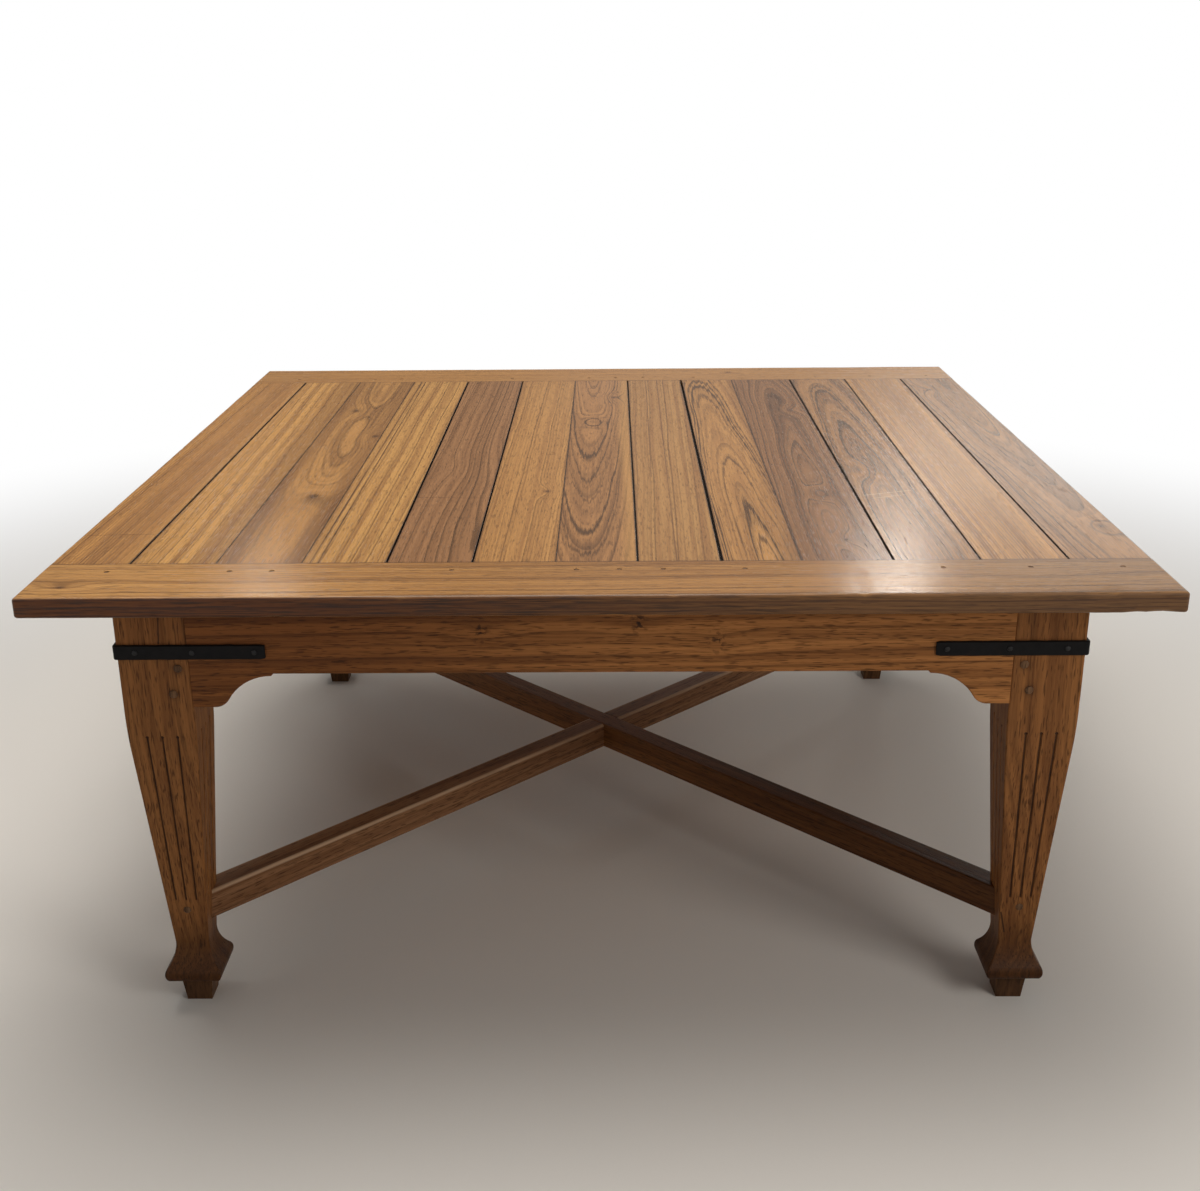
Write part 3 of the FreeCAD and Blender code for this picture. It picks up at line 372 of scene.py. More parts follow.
APRON_LIGHT = (0.48, 0.203, 0.063, 1)
APRON_DARK = (0.16, 0.056, 0.015, 1)
APRON_PAINTED_SHADE = (0.54, 0.46, 0.40, 1)
APRON_SHADE_FADE = (-0.50, 0.20)
# Each apron's grain, and its knots by their places up from the middle and along.
APRONS = {"front": ("x", [(0.030, -0.183), (0.044, 0.060), (0.012, 0.180)]), "back": ("x", [(-0.01, 0.31)]),
          "left": ("y", [(0.02, 0.22)]), "right": ("y", [(-0.015, -0.27)])}
APRON_HEART = (-0.13, 0.06)
# How wide, long and high the rings swell round a knot, and the width and length of its dark core.
APRON_KNOT_EYE = (0.026, 0.060, 0.012)
APRON_KNOT_CORE = (0.018, 0.012)
APRON_CHECK = ((-0.020, -0.420), (-0.017, -0.385), 0.0016)
CRUMB_WAX = 0.9
for number, (side, (run, knots)) in enumerate(APRONS.items()):
    low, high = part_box(f"apron_{side}")
    middle = (low + high) / 2
    apron = teak(f"teak_apron_{side}", run + "_on_edge", (middle.z, middle.y if run == "x" else middle.x),
                 APRON_HEART, lean=(0.012, 0.0), ring=0.009, sway=0.010, seed=60.0 + 7.7 * number,
                 eyes=[knot + APRON_KNOT_EYE for knot in knots])
    toned(apron, APRON_LIGHT, APRON_DARK, bands=0.65, lines=0.55, gloss=0.42, dashes=FRAME_DASHES)
    crumbs = streaks(apron, across=150.0, along=110.0, detail=2.0, shift=71.0).step(0.50, 0.62)
    for knot in knots:
        stained(apron, hill(apron, *knot, *APRON_KNOT_CORE) * crumbs * CRUMB_WAX, WAX_AND_SHADE_BLACK)
    if side == "front":
        # Painted shade: the front apron darkens towards its left end, as though lit from the right.
        tinted(apron, 1 - apron.along.step(*APRON_SHADE_FADE), APRON_PAINTED_SHADE)
        stained(apron, stroke(apron, *APRON_CHECK) * crumbs * CRUMB_WAX, WAX_AND_SHADE_BLACK)
    finished(apron, [f"apron_{side}"])

# Apron pegs
# Riven teak pegs, two through each tenon, driven in from the leg's face and trimmed off a little proud.
# They were shaved by knife, so no two are quite round, and their end grain is dark with wax.

PEG_SIDES = 11
PEG_PROUD = 0.002
PEG_WOBBLE = 0.06
PEG_LIGHT = (0.21, 0.112, 0.056, 1)
PEG_DARK = (0.06, 0.030, 0.015, 1)
APRON_PEG = 0.013
APRON_PEG_DEPTH = 0.040
pegs = teak("teak_pegs", "z", (0.0, 0.0), (0.3, 0.2), lean=(0.0, 0.0), ring=0.003, sway=0.004, seed=90.0)
toned(pegs, PEG_LIGHT, PEG_DARK, bands=0.7, lines=0.6, gloss=0.45, dashes=0.5)
peg_teak = finished(pegs, [])
shaving = random.Random(7)


def shape():
    """An empty mesh to build in."""
    return types.SimpleNamespace(points=[], faces=[])


def lathed(made, start, outwards, rings, wobble):
    """Add a closed round piece: rings of (distance outwards, radius), with its sides shaved by a little."""
    out = Vector(outwards).normalized()
    side = out.orthogonal().normalized()
    rise = out.cross(side)
    shares = [1 + shaving.uniform(-wobble, wobble) for _ in range(PEG_SIDES)]
    tilt = [shaving.uniform(-wobble, wobble) for _ in range(2)]
    first = len(made.points)
    for distance, radius in rings:
        for number, share in enumerate(shares):
            turn = 2 * math.pi * number / PEG_SIDES
            spoke = (side * math.cos(turn) + rise * math.sin(turn)) * (radius * share)
            slope = (tilt[0] * math.cos(turn) + tilt[1] * math.sin(turn)) * radius * (distance > 0)
            made.points.append(Vector(start) + out * (distance + slope) + spoke)
    for ring in range(len(rings) - 1):
        near = first + ring * PEG_SIDES
        far = near + PEG_SIDES
        for number in range(PEG_SIDES):
            after = (number + 1) % PEG_SIDES
            made.faces.append((near + number, near + after, far + after, far + number))
    made.faces.append(tuple(reversed(range(first, first + PEG_SIDES))))
    last = first + (len(rings) - 1) * PEG_SIDES
    made.faces.append(tuple(range(last, last + PEG_SIDES)))


def placed(name, made, material, nodes, sharp=35):
    """Turn a built mesh into a piece of the table's frame that stands for its nodes."""
    mesh = bpy.data.meshes.new(name)
    mesh.from_pydata(made.points, [], made.faces)
    mesh.materials.append(material)
    mesh.shade_smooth()
    mesh.set_sharp_from_angle(angle=math.radians(sharp))
    piece = bpy.data.objects.new(name, mesh)
    bpy.context.scene.collection.objects.link(piece)
    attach(piece, "table_frame")
    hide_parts(*nodes)
    return piece


def shaved_peg(made, face, outwards, diameter, depth):
    """Add a peg with a tapered inner end and a head that is shaved to a low dome."""
    radius = diameter / 2
    lathed(made, face, outwards, [(-depth, 0.8 * radius), (-0.7 * depth, radius), (0.45 * PEG_PROUD, radius),
                                  (0.8 * PEG_PROUD, 0.88 * radius), (PEG_PROUD, 0.62 * radius)], PEG_WOBBLE)


leg_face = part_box("leg_back_right")[1].x
leg_inside = leg_face - post
apron_pegs = shape()
for corner in CORNERS:
    right_turn, back_turn = corner_turn(corner)
    for inset, level in APRON_PEGS:
        across = leg_inside + inset
        for face, outwards in (((right_turn * across, back_turn * leg_face, level), (0, back_turn, 0)),
                               ((right_turn * leg_face, back_turn * across, level), (right_turn, 0, 0))):
            shaved_peg(apron_pegs, face, outwards, APRON_PEG, APRON_PEG_DEPTH)
placed("shaved_apron_pegs", apron_pegs, peg_teak, ["apron_pegs"])

# Stretchers
# Two teak bars on the diagonals, half-lapped where they cross and tenoned into the legs' inner corners.
# One end of the upper bar is darkened by painted shadow, and the upper edges of the other carry a painted
# highlight.

STRETCHER_PAINTED_SHADOW = (0.52, 0.48, 0.46, 1)
STRETCHER_SHADOW_FADE = (0.0, 0.5)
PAINTED_ARRIS_HIGHLIGHT = (0.62, 0.42, 0.27, 1)
STRETCHER_HALF = 0.0225
ARRIS_HIGHLIGHT_EDGE = (STRETCHER_HALF - 0.007, STRETCHER_HALF - 0.002)
STRETCHER_DARK = (0.13, 0.048, 0.017, 1)
for name, run, light, seed in (("stretcher_over", -45, (0.28, 0.120, 0.040, 1), 101.0),
                               ("stretcher_under", 45, (0.30, 0.150, 0.072, 1), 108.0)):
    low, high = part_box(name)
    bar = teak(f"teak_{name}", run, (0.0, high.z), (0.05, -0.12), lean=(0.0, 0.02), ring=0.006, sway=0.01,
               seed=seed)
    toned(bar, light, STRETCHER_DARK, bands=0.6, lines=0.5, gloss=0.36, dashes=FRAME_DASHES)
    if name == "stretcher_over":
        # Painted shadow: the upper bar darkens towards one end.
        tinted(bar, bar.along.step(*STRETCHER_SHADOW_FADE), STRETCHER_PAINTED_SHADOW)
    else:
        # Painted highlight: a pale line along the lower bar's upper arrises, broken up by noise.
        arris_highlight = (abs(bar.across) + bar.deep).step(*ARRIS_HIGHLIGHT_EDGE)
        highlight_breaks = 0.3 + streaks(bar, across=60.0, along=9.0, detail=2.0, shift=75.0)
        stained(bar, arris_highlight * highlight_breaks, PAINTED_ARRIS_HIGHLIGHT)
    finished(bar, [name])

# Stretcher pegs
# One riven teak peg through each stretcher's tenon, shaved like those of the aprons.
# It is driven in from the front or back face of the leg, just above its ankle.

STRETCHER_PEG = 0.012
STRETCHER_PEG_LEVEL = 0.183
STRETCHER_PEG_DEPTH = 0.050
ankle_reach = ANKLE_WIDTH / 2 + leg_slope * (STRETCHER_PEG_LEVEL - ANKLE_LEVEL)
stretcher_pegs = shape()
for corner in CORNERS:
    axis = leg_axis(corner)
    back_turn = corner_turn(corner)[1]
    face = (axis.x, axis.y + back_turn * ankle_reach, STRETCHER_PEG_LEVEL)
    shaved_peg(stretcher_pegs, face, (0, back_turn, 0), STRETCHER_PEG, STRETCHER_PEG_DEPTH)
placed("shaved_stretcher_pegs", stretcher_pegs, peg_teak, ["stretcher_pegs"])

# Centre rail and buttons
# Plain teak, never lacquered, under the top: the rail guides the lopers, and the buttons hold the top down.
# The rail is stub-tenoned between the front and back aprons.

BARE_LIGHT = (0.36, 0.19, 0.085, 1)
BARE_DARK = (0.18, 0.085, 0.035, 1)
RAIL_LEVEL = 0.704
rail = teak("teak_rail", "y", (0.0, RAIL_LEVEL), (0.12, -0.2), lean=(0.01, 0.02), ring=0.006, sway=0.01,
            seed=120.0)
toned(rail, BARE_LIGHT, BARE_DARK, bands=0.6, lines=0.5, gloss=0.6, dashes=0.3)
finished(rail, ["centre_rail", "top_buttons"])

# Screws
# Plain steel wood screws, a little tarnished.
# They hold the top to its buttons and rail, and the leaf boards to their lopers.

STEEL_GREY = (0.45, 0.44, 0.42, 1)
STEEL_TARNISH = (0.22, 0.17, 0.13, 1)
steel, place = bare("screw_steel")
tarnish = place.node("ShaderNodeTexNoise", {}, {"Vector": place, "Scale": 300.0, "Detail": 3.0})
surface = place.node("ShaderNodeBsdfPrincipled", {},
                     {"Base Color": blended(tarnish.step(0.4, 0.7), STEEL_GREY, STEEL_TARNISH),
                      "Roughness": 0.3 + tarnish * 0.3, "Metallic": 1.0})
surface.node("ShaderNodeOutputMaterial", {}, {"Surface": surface})
for name in ("top_screws", "left_leaf_screws", "right_leaf_screws"):
    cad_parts[name].material_slots[0].material = steel

# Corner straps
# Wrought-iron bands bent round the outer corner of each leg and nailed to leg and aprons.
# They are forge-blacked, with a dull sheen and the marks of the hammer.

IRON_GREY = (0.008, 0.007, 0.007, 1)
IRON_BLACK = (0.003, 0.0027, 0.0027, 1)
IRON_RUST = (0.020, 0.009, 0.005, 1)
iron, place = bare("wrought_iron")
scale = place.node("ShaderNodeTexNoise", {}, {"Vector": place, "Scale": 90.0, "Detail": 4.0})
rust = place.node("ShaderNodeTexNoise", {}, {"Vector": place, "Scale": 35.0, "Detail": 3.0})
hammer = place.node("ShaderNodeTexVoronoi", {"feature": "SMOOTH_F1"}, {"Vector": place, "Scale": 120.0})
colour = blended(scale, IRON_GREY, IRON_BLACK)
colour = blended(rust.step(0.58, 0.75) * 0.5, colour, IRON_RUST)
relief = hammer.node("ShaderNodeBump", {},
                     {"Strength": 0.35, "Distance": 0.0008, "Height": hammer + scale * 0.4})
surface = place.node("ShaderNodeBsdfPrincipled", {},
                     {"Base Color": colour, "Roughness": 0.36 + scale * 0.3, "Metallic": 0.3,
                      "Normal": relief, "Specular IOR Level": 0.12})
surface.node("ShaderNodeOutputMaterial", {}, {"Surface": surface})
STRAP_STATION = 0.007
STRAP_BEND_STEPS = 6
STRAP_EDGE = 0.0012
STRAP_END_SHARE = 0.75
# The iron is drawn this much under its full size, to leave room for the swellings.
STRAP_UNDER = 0.0003
HAMMER_BLOWS = 55.0
THICKNESS_DENT = 0.0005
EDGE_DENT = 0.0006
FACE_DENT = 0.0004
SAME_PLACE = 1e-6
low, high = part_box("corner_strap_back_right")
strap_level = (low.z + high.z) / 2
strap_half = (high.z - low.z) / 2
strap_thickness = high.x - leg_face
strap_arm = leg_face - low.x


def hammered(place, size):
    """A small dent or swelling left by the hammer, the same at the same place."""
    return size * noise.noise(Vector(place) * HAMMER_BLOWS)


for corner in CORNERS:
    right_turn, back_turn = corner_turn(corner)
    steps = round(strap_arm / STRAP_STATION)
    stations = [((leg_face - strap_arm * (1 - step / steps), leg_face), (0, 1)) for step in range(steps)]
    for step in range(STRAP_BEND_STEPS + 1):
        turn = math.pi / 2 * step / STRAP_BEND_STEPS
        stations.append(((leg_face, leg_face), (math.sin(turn), math.cos(turn))))
    stations += [((leg_face, leg_face - strap_arm * step / steps), (1, 0)) for step in range(1, steps + 1)]
    strap = shape()
    for number, ((x, y), (out_x, out_y)) in enumerate(stations):
        at_end = number in (0, len(stations) - 1)
        thick = strap_thickness * (STRAP_END_SHARE if at_end else 1) - STRAP_UNDER
        thick += hammered((x, y, right_turn), THICKNESS_DENT)
        half = strap_half - (STRAP_EDGE if at_end else 0) - STRAP_UNDER
        half += hammered((y, x, back_turn), EDGE_DENT)
        section = ((0, -half), (thick - STRAP_EDGE, -half), (thick, STRAP_EDGE - half),
                   (thick, half - STRAP_EDGE), (thick - STRAP_EDGE, half), (0, half))
        for out, rise in section:
            reach = out + (hammered((x, y, rise), FACE_DENT) if out > 0 else 0)
            strap.points.append((right_turn * (x + out_x * reach), back_turn * (y + out_y * reach),
                                 strap_level + rise))
    sides = len(section)
    for number in range(len(stations) - 1):
        near = number * sides
        far = near + sides
        for side in range(sides):
            after = (side + 1) % sides
            strap.faces.append((near + side, near + after, far + after, far + side))
    strap.faces.append(tuple(range(sides)))
    strap.faces.append(tuple(reversed(range((len(stations) - 1) * sides, len(stations) * sides))))
    piece = placed(f"forged_strap_{corner}", strap, iron, [f"corner_strap_{corner}"],
                   sharp=30)
    forged = bmesh.new()
    forged.from_mesh(piece.data)
    bmesh.ops.remove_doubles(forged, verts=forged.verts, dist=SAME_PLACE)
    bmesh.ops.recalc_face_normals(forged, faces=forged.faces)
    forged.to_mesh(piece.data)
    forged.free()

# Strap nails
# Hand-forged iron nails with low hammered heads, three in each arm of each strap.
# The first goes into the leg, the second just past the seam and the third near the strap's end.

NAIL_INSETS = (0.030, 0.118, 0.214)
NAIL_HEAD = 0.009
NAIL_HEAD_HEIGHT = 0.0018
NAIL_HEAD_SUNK = 0.0004
NAIL_SHANK = 0.0032
NAIL_SHANK_END = -0.0005
NAIL_LENGTH = 0.026
NAIL_WOBBLE = 0.10
NAIL_METAL = 0.0
NAIL_SHINE = 0.25
nail_seat = leg_face + strap_thickness
strap_nails = shape()
for corner in CORNERS:
    right_turn, back_turn = corner_turn(corner)
    for inset in NAIL_INSETS:
        across = leg_face - inset
        on_front_or_back = (right_turn * across, back_turn * nail_seat, strap_level)
        on_side = (right_turn * nail_seat, back_turn * across, strap_level)
        for start, outwards in ((on_front_or_back, (0, back_turn, 0)), (on_side, (right_turn, 0, 0))):
            lathed(strap_nails, start, outwards,
                   [(-NAIL_LENGTH, 0.1 * NAIL_SHANK), (NAIL_SHANK_END, NAIL_SHANK / 2),
                    (-NAIL_HEAD_SUNK, NAIL_HEAD / 2), (0.5 * NAIL_HEAD_HEIGHT, 0.46 * NAIL_HEAD),
                    (0.85 * NAIL_HEAD_HEIGHT, 0.3 * NAIL_HEAD), (NAIL_HEAD_HEIGHT, 0.1 * NAIL_HEAD)],
                   NAIL_WOBBLE)
nail_iron = iron.copy()
nail_iron.name = "nail_iron"
for node in nail_iron.node_tree.nodes:
    if node.bl_idname == "ShaderNodeBsdfPrincipled":
        node.inputs["Metallic"].default_value = NAIL_METAL
        node.inputs["Specular IOR Level"].default_value = NAIL_SHINE
placed("forged_strap_nails", strap_nails, nail_iron, ["strap_nails"], sharp=20)

# Draw leaves
# Five teak boards screwed across two teak lopers on each side, kept under the top until they are drawn out.
# They have seen little light, so they are paler and more even than the top.

LEAF_BOARDS = 5
LEAF_LIGHT = (0.44, 0.24, 0.105, 1)
LEAF_DARK = (0.25, 0.12, 0.05, 1)
LOPER_LEVEL = 0.705
LOPER_GRIME = (0.45, 0.38, 0.32, 1)
# Each board's heart is further to the right and deeper than that of the board before it.
LEAF_HEART_STEP = 0.02
LEAF_HEART_DEPTH = -0.05
LEAF_HEART_DROP = 0.01
LEAF_LEAN = 0.05
loper_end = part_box("right_loper_front")[1].x
for side, turn in (("left", -1), ("right", 1)):
    for number in range(1, LEAF_BOARDS + 1):
        name = f"{side}_leaf_board_{number}"
        low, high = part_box(name)
        heart = (LEAF_HEART_STEP * (number - (LEAF_BOARDS + 1) / 2),
                 LEAF_HEART_DEPTH - LEAF_HEART_DROP * number)
        board = teak(f"teak_{name}", "y", ((low.x + high.x) / 2, high.z), heart,
                     lean=(0.01, LEAF_LEAN * (-1) ** number), ring=0.006, sway=0.012,
                     seed=130.0 + 6.1 * number + 40 * (turn > 0))
        toned(board, LEAF_LIGHT, LEAF_DARK, bands=0.5, lines=0.5, gloss=0.45, dashes=0.3)
        finished(board, [name])
    loper = teak(f"teak_{side}_lopers", "x", (0.0, LOPER_LEVEL), (0.2, -0.1), lean=(0.0, 0.02), ring=0.006,
                 sway=0.01, seed=220.0 + turn)
    toned(loper, BARE_LIGHT, BARE_DARK, bands=0.6, lines=0.5, gloss=0.5, dashes=0.3)
    tinted(loper, (loper.along * turn).step(loper_end - 0.0015, loper_end - 0.0004), LOPER_GRIME)
    finished(loper, [f"{side}_loper_front", f"{side}_loper_back", f"{side}_loper_stops"])

# Top boards
# Thirteen teak boards laid front to back and tongued together, sawn from different logs.
# Some are straight in the grain, some show arched flames and knots; all are satin-lacquered.

GOLD = (0.53, 0.270, 0.088, 1)
TAN = (0.41, 0.205, 0.077, 1)
BROWN = (0.31, 0.150, 0.062, 1)
RED_BROWN = (0.25, 0.108, 0.037, 1)
DEEP_BROWN = (0.16, 0.070, 0.028, 1)
KNOT_BROWN = (0.075, 0.030, 0.014, 1)
SAPWOOD = (0.58, 0.31, 0.10, 1)
SCRATCH = (0.68, 0.50, 0.30, 1)
TOP_GLOSS = 0.22
TOP_SHINE = 0.3
TOP_RELIEF = 0.14
TOP_DASHES = 0.45
GAP_DIRT = (0.05, 0.04, 0.04, 1)
EDGE_TONGUE = 0.009
BOARD_COUNT = 13

# How each board was sawn: its colours, how bold its bands and ring lines are, where the tree's heart was from
# the middle of its face, the heart's lean, the rings' width and sway. Eyes and knots are places across and
# along the board, and strips are places across it. Strokes are fine lines from place to place. Bold rings are
# by their distance from the heart.
BOARDS = {
    1: dict(light=(0.56, 0.275, 0.084, 1), dark=RED_BROWN, bands=0.60, lines=0.85, heart=(0.42, -0.10),
            lean=(0.02, 0.0), ring=0.0055, sway=0.008,
            strips=[(0.045, 0.056, SAPWOOD, 0.45), (-0.035, -0.005, BROWN, 0.25)],
            strokes=[(-0.062, -0.546, 0.055, -0.541, 0.0014, KNOT_BROWN)]),
    2: dict(light=(0.65, 0.345, 0.108, 1), dark=RED_BROWN, bands=0.60, lines=0.90, heart=(0.30, -0.08),
            lean=(-0.015, 0.0), ring=0.0055, sway=0.010, strips=[(0.020, 0.034, DEEP_BROWN, 0.40)]),
    3: dict(light=GOLD, dark=DEEP_BROWN, bands=0.60, lines=0.60, heart=(0.00, -0.045), lean=(0.0, 0.03),
            ring=0.0055, sway=0.026,
            knots=[(0.012, -0.320, 0.022), (0.054, 0.134, 0.015), (-0.025, 0.377, 0.022)],
            strips=[(0.030, 0.050, DEEP_BROWN, 0.50), (-0.030, -0.055, DEEP_BROWN, 0.50)]),
    4: dict(light=SAPWOOD, dark=RED_BROWN, bands=0.60, lines=0.90, heart=(-0.33, -0.06), lean=(0.01, 0.0),
            ring=0.006, sway=0.008,
            strokes=[(-0.052, -0.7, -0.047, 0.7, 0.0025, KNOT_BROWN),
                     (-0.040, -0.7, -0.038, 0.7, 0.0020, KNOT_BROWN)]),
    5: dict(light=(0.36, 0.178, 0.078, 1), dark=DEEP_BROWN, bands=0.55, lines=0.90, heart=(0.09, -0.05),
            lean=(0.03, 0.03), ring=0.0052, sway=0.020, eyes=[(-0.016, -0.142, 0.03, 0.09, 0.012)],
            strokes=[(-0.064, -0.330, 0.062, -0.336, 0.0012, KNOT_BROWN)]),
    6: dict(light=GOLD, dark=RED_BROWN, bands=0.55, lines=0.85, heart=(0.22, -0.06), lean=(0.015, 0.0),
            ring=0.0055, sway=0.012, knots=[(0.035, -0.295, 0.012)]),
    7: dict(light=(0.44, 0.215, 0.080, 1), dark=DEEP_BROWN, bands=0.50, lines=0.70, heart=(-0.018, -0.05),
            lean=(0.0, 0.055), ring=0.006, sway=0.010, eyes=[(-0.016, 0.256, 0.022, 0.06, 0.022)],
            knots=[(0.030, 0.501, 0.014)], strips=[(0.030, 0.056, SAPWOOD, 0.50)],
            bold=[(0.0515, 0.0014, 0.8), (0.0590, 0.0010, 0.6), (0.0660, 0.0008, 0.5), (0.0765, 0.0018, 0.85),
                  (0.0850, 0.0012, 0.6)]),
    8: dict(light=(0.47, 0.25, 0.088, 1), dark=RED_BROWN, bands=0.55, lines=0.80, heart=(-0.24, -0.05),
            lean=(0.015, 0.0), ring=0.0058, sway=0.010,
            strokes=[(-0.030, -0.318, 0.058, -0.314, 0.0012, RED_BROWN),
                     (-0.004, -0.7, 0.006, 0.7, 0.0016, DEEP_BROWN),
                     (-0.030, -0.2, -0.020, 0.7, 0.0014, DEEP_BROWN)]),
    9: dict(light=GOLD, dark=RED_BROWN, bands=0.55, lines=0.55, heart=(-0.006, -0.035), lean=(-0.024, -0.045),
            ring=0.006, sway=0.012, strips=[(0.034, 0.056, DEEP_BROWN, 0.35)],
            bold=[(0.0606, 0.0018, 0.95), (0.0560, 0.0012, 0.7), (0.0640, 0.0014, 0.8), (0.0690, 0.0014, 0.8),
                  (0.0330, 0.0014, 0.7), (0.0185, 0.0022, 0.95), (0.0120, 0.0016, 0.8)]),
    10: dict(light=BROWN, dark=DEEP_BROWN, bands=0.80, lines=0.90, heart=(0.005, -0.03), lean=(0.0, -0.035),
             ring=0.0045, sway=0.022, eyes=[(0.008, -0.323, 0.02, 0.07, 0.024)],
             knots=[(0.015, -0.590, 0.013), (0.034, 0.357, 0.014)], bold=[(0.0450, 0.0012, 0.7)]),
    11: dict(light=TAN, dark=DEEP_BROWN, bands=0.75, lines=0.85, heart=(-0.012, -0.03), lean=(0.0, -0.05),
             ring=0.0058, sway=0.014, eyes=[(-0.029, -0.160, 0.02, 0.08, 0.02)],
             strokes=[(-0.053, -0.333, 0.034, -0.302, 0.0013, SCRATCH),
                      (-0.040, -0.352, 0.020, -0.330, 0.0010, SCRATCH)],
             bold=[(0.0396, 0.0016, 0.85), (0.0300, 0.0012, 0.7), (0.0560, 0.0016, 0.8),
                   (0.0600, 0.0012, 0.7)]),
    12: dict(light=GOLD, dark=RED_BROWN, bands=0.60, lines=0.95, heart=(0.38, -0.06), lean=(0.0, 0.0),
             ring=0.005, sway=0.008, strokes=[(-0.050, 0.372, -0.010, 0.392, 0.0011, SCRATCH)]),
    13: dict(light=TAN, dark=DEEP_BROWN, bands=0.65, lines=0.90, heart=(0.03, -0.04), lean=(0.0, 0.04),
             ring=0.0055, sway=0.022, knots=[(0.038, -0.525, 0.014), (-0.019, 0.567, 0.012)]),
}
# A knot swells the rings over these multiples of its size, by a height, and has a core of these shares of it.
KNOT_EYE_WIDTH = 1.7
KNOT_EYE_LENGTH = 4
KNOT_EYE_HEIGHT = 0.018
KNOT_CORE_WIDTH = 0.45
KNOT_CORE_LENGTH = 0.8
KNOT_STAIN = 0.85
STRIP_DRIFT = 0.02
STROKE_FILL = 0.75
SEAM_GRIME = 0.55
SEAM_GRIME_WIDTH = 0.004
SEAM_GRIME_CORE = 0.0005
board_end = -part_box("breadboard_front")[1].y


def sawn(name, run, centre, half, figure, seed):
    """The material of a lacquered top board from the way it was sawn."""
    knots = figure.get("knots", [])
    eyes = list(figure.get("eyes", []))
    for across, along, size in knots:
        eyes.append((across, along, KNOT_EYE_WIDTH * size, KNOT_EYE_LENGTH * size, KNOT_EYE_HEIGHT))
    board = teak(name, run, centre, figure["heart"], figure["lean"], figure["ring"], figure["sway"], seed,
                 eyes)
    toned(board, figure["light"], figure["dark"], figure["bands"], figure["lines"], TOP_GLOSS, TOP_DASHES,
          figure.get("bold", ()))
    # Painted shade: each fade darkens the board from one place along it onwards.
    for start, end, tint in figure.get("fades", []):
        tinted(board, board.along.step(start, end), tint)
    drift = streaks(board, across=30.0, along=2.5, detail=2.0, shift=51.0) - 0.5
    for near, far, colour, strength in figure.get("strips", []):
        side = board.across + drift * STRIP_DRIFT
        share = side.step(near, far) if far > near else (-side).step(-near, -far)
        stained(board, share * strength, colour)
    for across, along, size in knots:
        core = hill(board, across, along, KNOT_CORE_WIDTH * size, KNOT_CORE_LENGTH * size)
        stained(board, core * KNOT_STAIN, KNOT_BROWN)
    for across, along, far_across, far_along, width, colour in figure.get("strokes", []):
        line = stroke(board, (across, along), (far_across, far_along), width)
        stained(board, line * (drift + STROKE_FILL), colour)
    seam = abs(board.across) + drift * SEAM_GRIME_WIDTH
    stained(board, seam.step(half - SEAM_GRIME_WIDTH, half - SEAM_GRIME_CORE) * SEAM_GRIME, KNOT_BROWN)
    return board


WEAR_STATION = 0.012
WEAR_REACH = 0.009
SIDE_WEAR = 0.0009
CUT_TOLERANCE = 1e-5
# Rubbing changes slowly along an arris; dents are short, and only the strongest of them show.
RUBS_IN_METRE = 9
RUB_LEAST = 0.35
RUB_SWING = 0.65
DENTS_IN_METRE = 60
DENT_LIMIT = 0.35
DENT_GAIN = 2.5


def worn(name, node, run, arrises, material):
    """A copy of a node of the frame with its long arrises rubbed and dented by use.

    run is the axis along the piece. An arris is its place on the other two axes, with the depth of wear and
    its chips, each by its place along, length and depth.
    """
    piece_mesh = bmesh.new()
    piece_mesh.from_mesh(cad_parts[node].data)
    low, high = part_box(node)
    steps = round((high[run] - low[run]) / WEAR_STATION)
    normal = [0.0, 0.0, 0.0]
    normal[run] = 1.0
    for step in range(1, steps):
        place = [0.0, 0.0, 0.0]
        place[run] = low[run] + (high[run] - low[run]) * step / steps
        everything = piece_mesh.verts[:] + piece_mesh.edges[:] + piece_mesh.faces[:]
        bmesh.ops.bisect_plane(piece_mesh, geom=everything, plane_co=place, plane_no=normal,
                               dist=CUT_TOLERANCE)
    middle = (low + high) / 2
    for vertex in piece_mesh.verts:
        for arris, depth, chips in arrises:
            inwards = Vector([0.0 if axis == run else math.copysign(1.0, middle[axis] - arris[axis])
                              for axis in range(3)])
            away = Vector([0.0 if axis == run else vertex.co[axis] - arris[axis] for axis in range(3)]).length
            near = max(0.0, 1 - away / WEAR_REACH)
            along = vertex.co[run]
            rub = RUB_LEAST + RUB_SWING * noise.noise(Vector((along * RUBS_IN_METRE, arris[0], arris[1])))
            blow = noise.noise(Vector((along * DENTS_IN_METRE, arris[1], arris[0])))
            dent = max(0.0, blow - DENT_LIMIT) * DENT_GAIN
            chip = sum(size * math.exp(-((along - spot) / length) ** 2) for spot, length, size in chips)
            vertex.co += inwards.normalized() * near * (depth * (max(rub, 0.0) + dent) + chip)
    made = shape()
    piece_mesh.verts.index_update()
    made.points = [vertex.co.copy() for vertex in piece_mesh.verts]
    made.faces = [[vertex.index for vertex in face.verts] for face in piece_mesh.faces]
    piece_mesh.free()
    return placed(name, made, material, [node], sharp=28)


END_GRIME = 0.6
END_GRIME_WIDTH = 0.005
END_GRIME_CORE = 0.0005
GAP_DEPTH = 0.0012
GAP_CORE = 0.0002
top_level = cad_box[1].z
top_face = cad_box[1].x


def board_sides(number):
    """The left and right of a top board's face, without the tongue that its neighbour covers."""
    low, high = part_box(f"top_board_{number:02}")
    return low.x, high.x if number == BOARD_COUNT else high.x - EDGE_TONGUE


